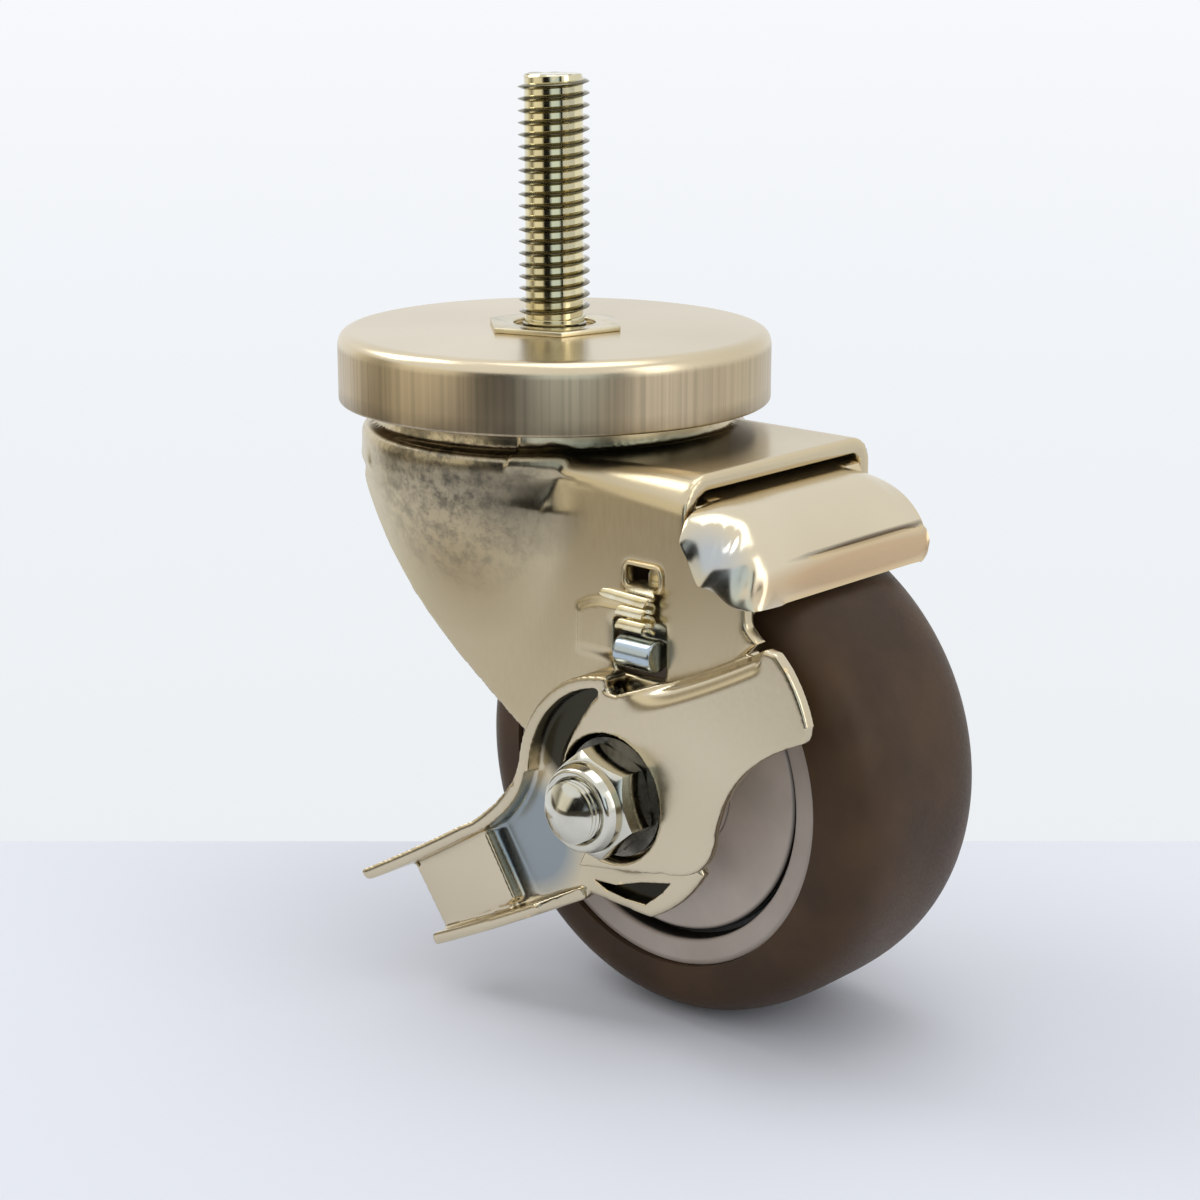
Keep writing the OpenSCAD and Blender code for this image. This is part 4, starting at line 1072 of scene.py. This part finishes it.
# %% [markdown]
# ## Return spring
# A flat strip of spring steel hooks into the leg's window and is folded to and fro down to the shoe's
# tab. Its first fold is wider than the rest. Folding a mesh by hand would take a bend for each
# turn, so the folds are a wave in height and depth instead.

# %% Return spring
HOOK_Z, TAB_TOP, FOLDS, STRIP_T, FOLD_STEPS_DOWN, HOOK_STEPS = -31.3, -37.7, 3, 0.5, 60, 8
STRIP_LEFT, STRIP_RIGHT = (corner[0] for corner in corners_mm("return_spring"))
FOLD_Y, FOLD_DEEP, FOLD_TOP = -22.65, 1.75, HOOK_Z - 0.35
path = [(-LEG_IN + 0.2 - 0.4 * k, HOOK_Z) for k in range(HOOK_STEPS)]
for k in range(FOLD_STEPS_DOWN + 1):
    t = k / FOLD_STEPS_DOWN
    wave = (0.5 - 0.5 * math.cos(math.tau * FOLDS * t)) ** 0.45
    down = t + 0.055 * math.sin(math.tau * FOLDS * t * 2)
    path.append((FOLD_Y - FOLD_DEEP * wave, FOLD_TOP + (TAB_TOP - FOLD_TOP) * down))
spring_rows = []
for k, (y, z) in enumerate(path):
    t = max(0.0, (k - HOOK_STEPS) / FOLD_STEPS_DOWN)
    wide = math.exp(-((t - 0.16) / 0.09) ** 2) if k > HOOK_STEPS else 0.0
    sway = 0.7 * math.sin(math.tau * FOLDS * t + 0.6) if k > HOOK_STEPS else 0.0
    left, right = STRIP_LEFT - 3.2 * wide + sway, STRIP_RIGHT + 0.5 * wide + sway
    spring_rows.append([(left + (right - left) * m / 8, y, z - 0.5 * wide * (m / 8 - 0.3)) for m in range(9)])
spring = sheet_from_rows("folded_strip", spring_rows, STRIP_T, offset=0.0)
roll_edges(spring, width_mm=0.12, segments=2, angle=60)
smooth_under(50)
place_on(spring, "fork", spring_finish, "return_spring")

# %% [markdown]
# ## Turned pieces
# A lathe section is drawn as a line of corners, each with its own rounding, and spun round its axis.
# The spin operator closes the ring, and the doubles at the seam are merged.


# %% Helpers for turned pieces
def rounded(corners, steps=5):
    """Corners are (radius, height, rounding) in mm. Gives the line with each corner turned into an arc."""
    line = []
    count = len(corners)
    for i, (r, h, bend_r) in enumerate(corners):
        here = Vector((r, h))
        back = Vector(corners[i - 1][:2]) - here
        on = Vector(corners[(i + 1) % count][:2]) - here
        if bend_r <= 0:
            line.append(tuple(here))
            continue
        half = back.angle(on) / 2
        cut = min(bend_r / math.tan(half), back.length * 0.49, on.length * 0.49)
        start, end = here + back.normalized() * cut, here + on.normalized() * cut
        for k in range(steps + 1):
            t = k / steps
            line.append(tuple((1 - t) ** 2 * start + 2 * t * (1 - t) * here + t * t * end))
    return line


def spun(name, line, centre=(0, 0, 0), axis="Z", steps=128, closed=True, angle=40):
    """Spins a line of (radius, height) in mm round an axis through centre."""
    if axis == "Z":
        points = [(r, 0, h) for r, h in line]
    else:
        points = [(r, -h, 0) for r, h in line]
    verts = [Vector(q) * MM + Vector(centre) * MM for q in points]
    edges = [(i, i + 1) for i in range(len(verts) - 1)] + ([(len(verts) - 1, 0)] if closed else [])
    made = mesh_object(name, verts, edges)
    open_mesh(made)
    bpy.ops.mesh.spin(steps=steps, angle=math.tau, center=Vector(centre) * MM,
                      axis=(0, 0, 1) if axis == "Z" else (0, 1, 0), use_auto_merge=True)
    bpy.ops.mesh.select_all(action="SELECT")
    bpy.ops.mesh.remove_doubles(threshold=0.000005)
    bpy.ops.mesh.normals_make_consistent(inside=False)
    close_mesh()
    smooth_under(angle)
    return made


# %% [markdown]
# ## Stem
# The stem is a rolled right-hand thread, 11.1 mm over its crests with 14 turns to the inch. Rolling
# leaves sharp flanks and bright crests. One turn of the thread is drawn as a short line, the Screw
# modifier sweeps it up the stem, and a bisect gives the two ends. The tip and the run-out are
# turned down by drawing the points in. The king pin and its peened head hang below.

# %% Threaded stem
PITCH, CREST_R, ROOT_R, RUNOUT_Z, THREAD_TURNS = 1.814, 5.55, 4.52, 1.5, 23
RUNOUT_R, RUNOUT_SLOPE, TIP_H, TIP_SLOPE = 4.75, 0.9, 1.1, 1.1
TIP_Z = corners_mm("threaded_stem")[1][2]
turn = [(ROOT_R, 0.0), (ROOT_R, 0.46), (ROOT_R + 0.1, 0.5), (CREST_R - 0.06, 0.70), (CREST_R, 0.73),
        (CREST_R, 0.77), (CREST_R - 0.06, 0.80), (ROOT_R + 0.1, 0.97), (ROOT_R, 1.0)]
stem = mesh_object("threaded_rod", [(r * MM, 0, (h * PITCH - PITCH) * MM) for r, h in turn],
                   [(i, i + 1) for i in range(len(turn) - 1)])
sweep = stem.modifiers.new("thread", "SCREW")
sweep.screw_offset, sweep.iterations, sweep.steps, sweep.render_steps = PITCH * MM, THREAD_TURNS, 56, 56
sweep.use_merge_vertices, sweep.merge_threshold = True, 0.00001
apply_all(stem)
open_mesh(stem)
bpy.ops.mesh.remove_doubles(threshold=0.000005)
cut_off((0, 0, TIP_Z), (0, 0, 1))
cut_off((0, 0, RUNOUT_Z), (0, 0, -1))
bpy.ops.mesh.select_all(action="SELECT")
bpy.ops.mesh.normals_make_consistent(inside=False)
close_mesh()
for vertex in stem.data.vertices:
    x, y, z = vertex.co / MM
    r = math.hypot(x, y)
    limit = min(CREST_R - TIP_SLOPE * max(0.0, z - (TIP_Z - TIP_H)), RUNOUT_R + RUNOUT_SLOPE * (z - RUNOUT_Z))
    if r > limit:
        vertex.co.x *= limit / r
        vertex.co.y *= limit / r
smooth_under(28)
pin_line = rounded([(0.0, 1.6, 0), (4.7, 1.6, 0.2), (4.7, 0.9, 0.1), (5.0, 0.7, 0), (5.0, -11.45, 0.1),
                    (4.0, -11.45, 0), (4.0, -13.4, 0), (6.5, -13.4, 0.2), (6.3, -14.6, 0.8),
                    (4.0, -15.6, 0.8), (0.0, -15.7, 0)])
pin = spun("king_pin", pin_line, steps=64, closed=False)
joined(stem, pin)
place_on(stem, "mount", gold_finish, "threaded_stem")

# %% [markdown]
# ## Hexagons
# The washer under the thread, the nut and the bolt's head are all hexagons. A cylinder with six sides
# is one, once its radius is worked out from the width across its flats. It is turned in edit mode, so
# that its object stays unturned.


# %% Helper for hexagons
def hexagon(name, flats_mm, high_mm, middle_mm, turn_deg, upright):
    """A six-sided prism that stands upright or lies along Y, turned round its own axis."""
    corner_mm = flats_mm / 2 / math.cos(math.radians(30))
    bpy.ops.object.select_all(action="DESELECT")
    bpy.ops.mesh.primitive_cylinder_add(vertices=6, radius=corner_mm * MM, depth=high_mm * MM,
                                        location=Vector(middle_mm) * MM,
                                        rotation=(0 if upright else math.radians(90), 0, 0))
    made = bpy.context.object
    made.name = name
    bpy.ops.object.transform_apply(location=True, rotation=True, scale=True)
    open_mesh(made)
    bpy.ops.transform.rotate(value=math.radians(turn_deg), orient_axis="Z" if upright else "Y",
                             center_override=Vector(middle_mm) * MM)
    close_mesh()
    return made


# %% [markdown]
# ## Washer under the thread
# A thin hexagonal washer, punched from strip, with a slightly rolled edge. It lies loose, so it is
# turned a little about the stem.

# %% Hexagonal washer
WASHER_HOLE_R, WASHER_TURN = 6.45, 12
washer_high_corner = corners_mm("stem_washer")[1]
WASHER_AF, WASHER_T = 2 * washer_high_corner[1], washer_high_corner[2]
washer = hexagon("hexagonal_washer", WASHER_AF, WASHER_T, (0, 0, WASHER_T / 2), WASHER_TURN, upright=True)
punch = spun("punch", [(0, -1), (WASHER_HOLE_R, -1), (WASHER_HOLE_R, 2), (0, 2)], steps=64, closed=False)
cut_with(washer, punch)
roll_edges(washer, width_mm=0.18, segments=3, angle=40)
smooth_under(35)
place_on(washer, "mount", washer_finish, "stem_washer")

# %% [markdown]
# ## Raceway cap
# The cap is a cup drawn from sheet, with a rolled top edge and a ball groove on its inside.
# It is one section spun round the swivel axis.

# %% Raceway cap
CAP_WALL, CAP_HOLE_R, CAP_EDGE_R, RACE_R, RACE_Z, RACE_GROOVE_R = 2.2, 5.0, 2.6, 24.0, -4.3, 2.75
section = rounded([(CAP_HOLE_R, 0.0, 0), (CAP_R, 0.0, CAP_EDGE_R), (CAP_R, -CAP_H, 0.5),
                   (CAP_R - CAP_WALL, -CAP_H, 0.3), (CAP_R - CAP_WALL, -CAP_WALL, 1.8)], steps=9)
for deg in range(48, 133, 12):
    a = math.radians(deg)
    section.append((RACE_R + RACE_GROOVE_R * math.cos(a), RACE_Z + RACE_GROOVE_R * math.sin(a)))
section.append((CAP_HOLE_R, -CAP_WALL))
cap = spun("spun_cap", section, steps=192)
place_on(cap, "mount", cap_finish, "raceway_cap")

# %% [markdown]
# ## Wheel
# The core is moulded first and the soft tread is moulded round it. The tread's crown is a squarish
# oval. The core shows a raised ring, a deep groove, and a disc that closes the hub. Tread and core
# are the same all round, so each is one section spun round the axle.

# %% Tread and core
CORE_R = round(corners_mm("wheel_core")[1][0] - AXLE_X, 2)
CORE_HALF, HUB_HALF, HUB_R, BORE_R = 15.15, corners_mm("wheel_core")[1][1], 12.0, 8.5
GROOVE_OUT_R, GROOVE_FLOOR, DISC_SEAT = 25.1, 11.7, 12.2
CROWN_POWER = 3.46
axle = (AXLE_X, 0, AXLE_Z)
crown = []
for i in range(-30, 31):
    u = math.sin(math.radians(90 * i / 30))
    rise = (WHEEL_R - CORE_R) * (1 - abs(u) ** CROWN_POWER) ** (1 / CROWN_POWER)
    crown.append((CORE_R + rise, u * TREAD_HALF))
tread_foot = [(CORE_R - 0.02, TREAD_HALF - 0.5), (CORE_R - 0.02, 0.5 - TREAD_HALF)]
tread = spun("moulded_tread", tread_foot + crown, centre=axle, axis="Y", steps=192, angle=60)
place_on(tread, "wheel", tread_finish, "tread")
outer = rounded([(CORE_R - 0.05, 0, 0), (CORE_R - 0.05, CORE_HALF - 0.2, 0.3),
                 (CORE_R - 0.9, CORE_HALF + 0.02, 0.4), (GROOVE_OUT_R, CORE_HALF - 0.15, 0.5),
                 (GROOVE_OUT_R - 0.2, GROOVE_FLOOR, 0.2), (24.0, GROOVE_FLOOR, 0.2), (24.0, DISC_SEAT, 0),
                 (HUB_R, DISC_SEAT, 0.3), (HUB_R, HUB_HALF, 0.5), (BORE_R, HUB_HALF, 0)], steps=5)
section = outer + [(r, -h) for r, h in reversed(outer[1:])]
core = spun("moulded_core", section, centre=axle, axis="Y", steps=160)
place_on(core, "wheel", core_finish, "wheel_core")

# %% [markdown]
# ## Closing discs
# A thin disc snaps into each side of the core and closes the hub. It is slightly dished, and its rim
# drops into the groove. Both are one section, mirrored for the far side.

# %% Closing discs
DISC_FACE, DISC_BACK, DISC_R = 13.75, 12.45, 23.9
disc = rounded([(12.05, DISC_BACK, 0.2), (12.05, 13.9, 0.3), (16.0, DISC_FACE, 0.6), (23.3, DISC_FACE, 0.4),
                (DISC_R, 13.3, 0.3), (DISC_R, DISC_BACK, 0.2)], steps=6)
for side_sign, name in ((1, "near"), (-1, "far")):
    line = [(r, side_sign * h) for r, h in disc]
    cover = spun(name + "_closing_disc", line, centre=axle, axis="Y", steps=128)
    place_on(cover, "wheel", cover_finish, name + "_hub_cover")

# %% [markdown]
# ## Lock nut
# The axle bolt is held by a lock nut: a hexagon whose corners are turned off, and a round rolled
# collar that grips the thread. The hexagon is cut by a cone, as the real blank is turned.

# %% Lock nut
NUT_FLATS, NUT_TURN, NUT_CROWN = 14.3, 13, 31.9
NUT_FOOT = -corners_mm("axle_nut")[1][1]


def turned_hexagon(name, y_low, y_high, cone):
    """A hexagon along the axle whose corners a turned shape cuts off."""
    middle = (AXLE_X, (y_low + y_high) / 2, AXLE_Z)
    made = hexagon(name, NUT_FLATS, y_high - y_low, middle, NUT_TURN, upright=False)
    cut_with(made, spun("cone", cone, centre=axle, axis="Y", steps=96, closed=False), "INTERSECT")
    roll_edges(made, width_mm=0.2, segments=3, angle=22)
    smooth_under(30)
    return made


nut = turned_hexagon("lock_nut", -NUT_CROWN, -NUT_FOOT,
                     [(0, NUT_FOOT), (7.3, NUT_FOOT), (8.4, NUT_FOOT + 0.6), (8.4, NUT_CROWN - 1.1),
                      (7.0, NUT_CROWN), (0, NUT_CROWN)])
collar = spun("collar", rounded([(4.8, 31.4, 0), (6.9, 31.4, 0), (6.7, 33.0, 0.5), (6.1, 34.5, 0.9),
                                 (4.9, 34.4, 0.4)], steps=6), centre=axle, axis="Y", steps=64)
joined(nut, collar)
place_on(nut, "fork", bright_finish, "axle_nut")

# %% [markdown]
# ## Axle bolt
# The bolt's domed end shows in the collar with its first turns of thread, and its head is on the far
# side. So few turns look alike as rings or as a helix, so they are rings in the turned section.

# %% Axle bolt
THREAD_R, THREAD_ROOT_R, THREAD_PITCH, THREAD_TOP = 4.62, 4.2, 0.79, 35.9
HEAD_FOOT, HEAD_TOP = 23.5, 29.5
bolt_line = [(0, 37.75), (0.9, 37.7), (1.7, 37.4), (4.1, 36.3), (4.4, 36.0)]
for k in range(4):
    h = THREAD_TOP - k * THREAD_PITCH
    bolt_line += [(THREAD_R, h), (THREAD_R, h - 0.12), (THREAD_ROOT_R, h - 0.42), (THREAD_ROOT_R, h - 0.5)]
bolt_line += [(4.7, 32.6), (4.7, -HEAD_FOOT), (0, -HEAD_FOOT)]
bolt = spun("axle_bolt_shank", bolt_line, centre=axle, axis="Y", steps=64, closed=False)
head = turned_hexagon("bolt_head", HEAD_FOOT, HEAD_TOP,
                      [(0, -HEAD_FOOT), (8.4, -HEAD_FOOT), (8.4, -28.3), (6.9, -29.45), (0, -29.45)])
joined(bolt, head)
place_on(bolt, "fork", bright_finish, "axle_bolt")

# %% [markdown]
# ## Finishes on the CAD nodes
# Balls, race cup, sleeve, bush, washer and bearings are plain turned parts whose solids are already
# right, so they stay and only get their material. The nodes that were replaced get theirs too.

# %% Finishes on the CAD nodes
nodes_of = [
    (gold_finish, ["threaded_stem"]),
    (washer_finish, ["stem_washer"]),
    (cap_finish, ["raceway_cap"]),
    (dull_finish, ["lower_race_cup", "axle_sleeve", "lever_bush"]),
    (ball_finish, ["upper_balls", "lower_balls"]),
    (fork_finish, ["fork"]),
    (bright_finish, ["axle_bolt", "axle_washer", "axle_nut"]),
    (spring_finish, ["return_spring"]),
    (tread_finish, ["tread"]),
    (core_finish, ["wheel_core"]),
    (bearing_finish, ["near_bush", "far_bush"]),
    (cover_finish, ["near_hub_cover", "far_hub_cover"]),
    (lever_finish, ["brake_lever"]),
    (shoe_finish, ["brake_shoe"]),
]
for finish, names in nodes_of:
    for name in names:
        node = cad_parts[name]
        node.data.materials.clear()
        node.data.materials.append(finish)
    print(finish.name, "on", ", ".join(names))
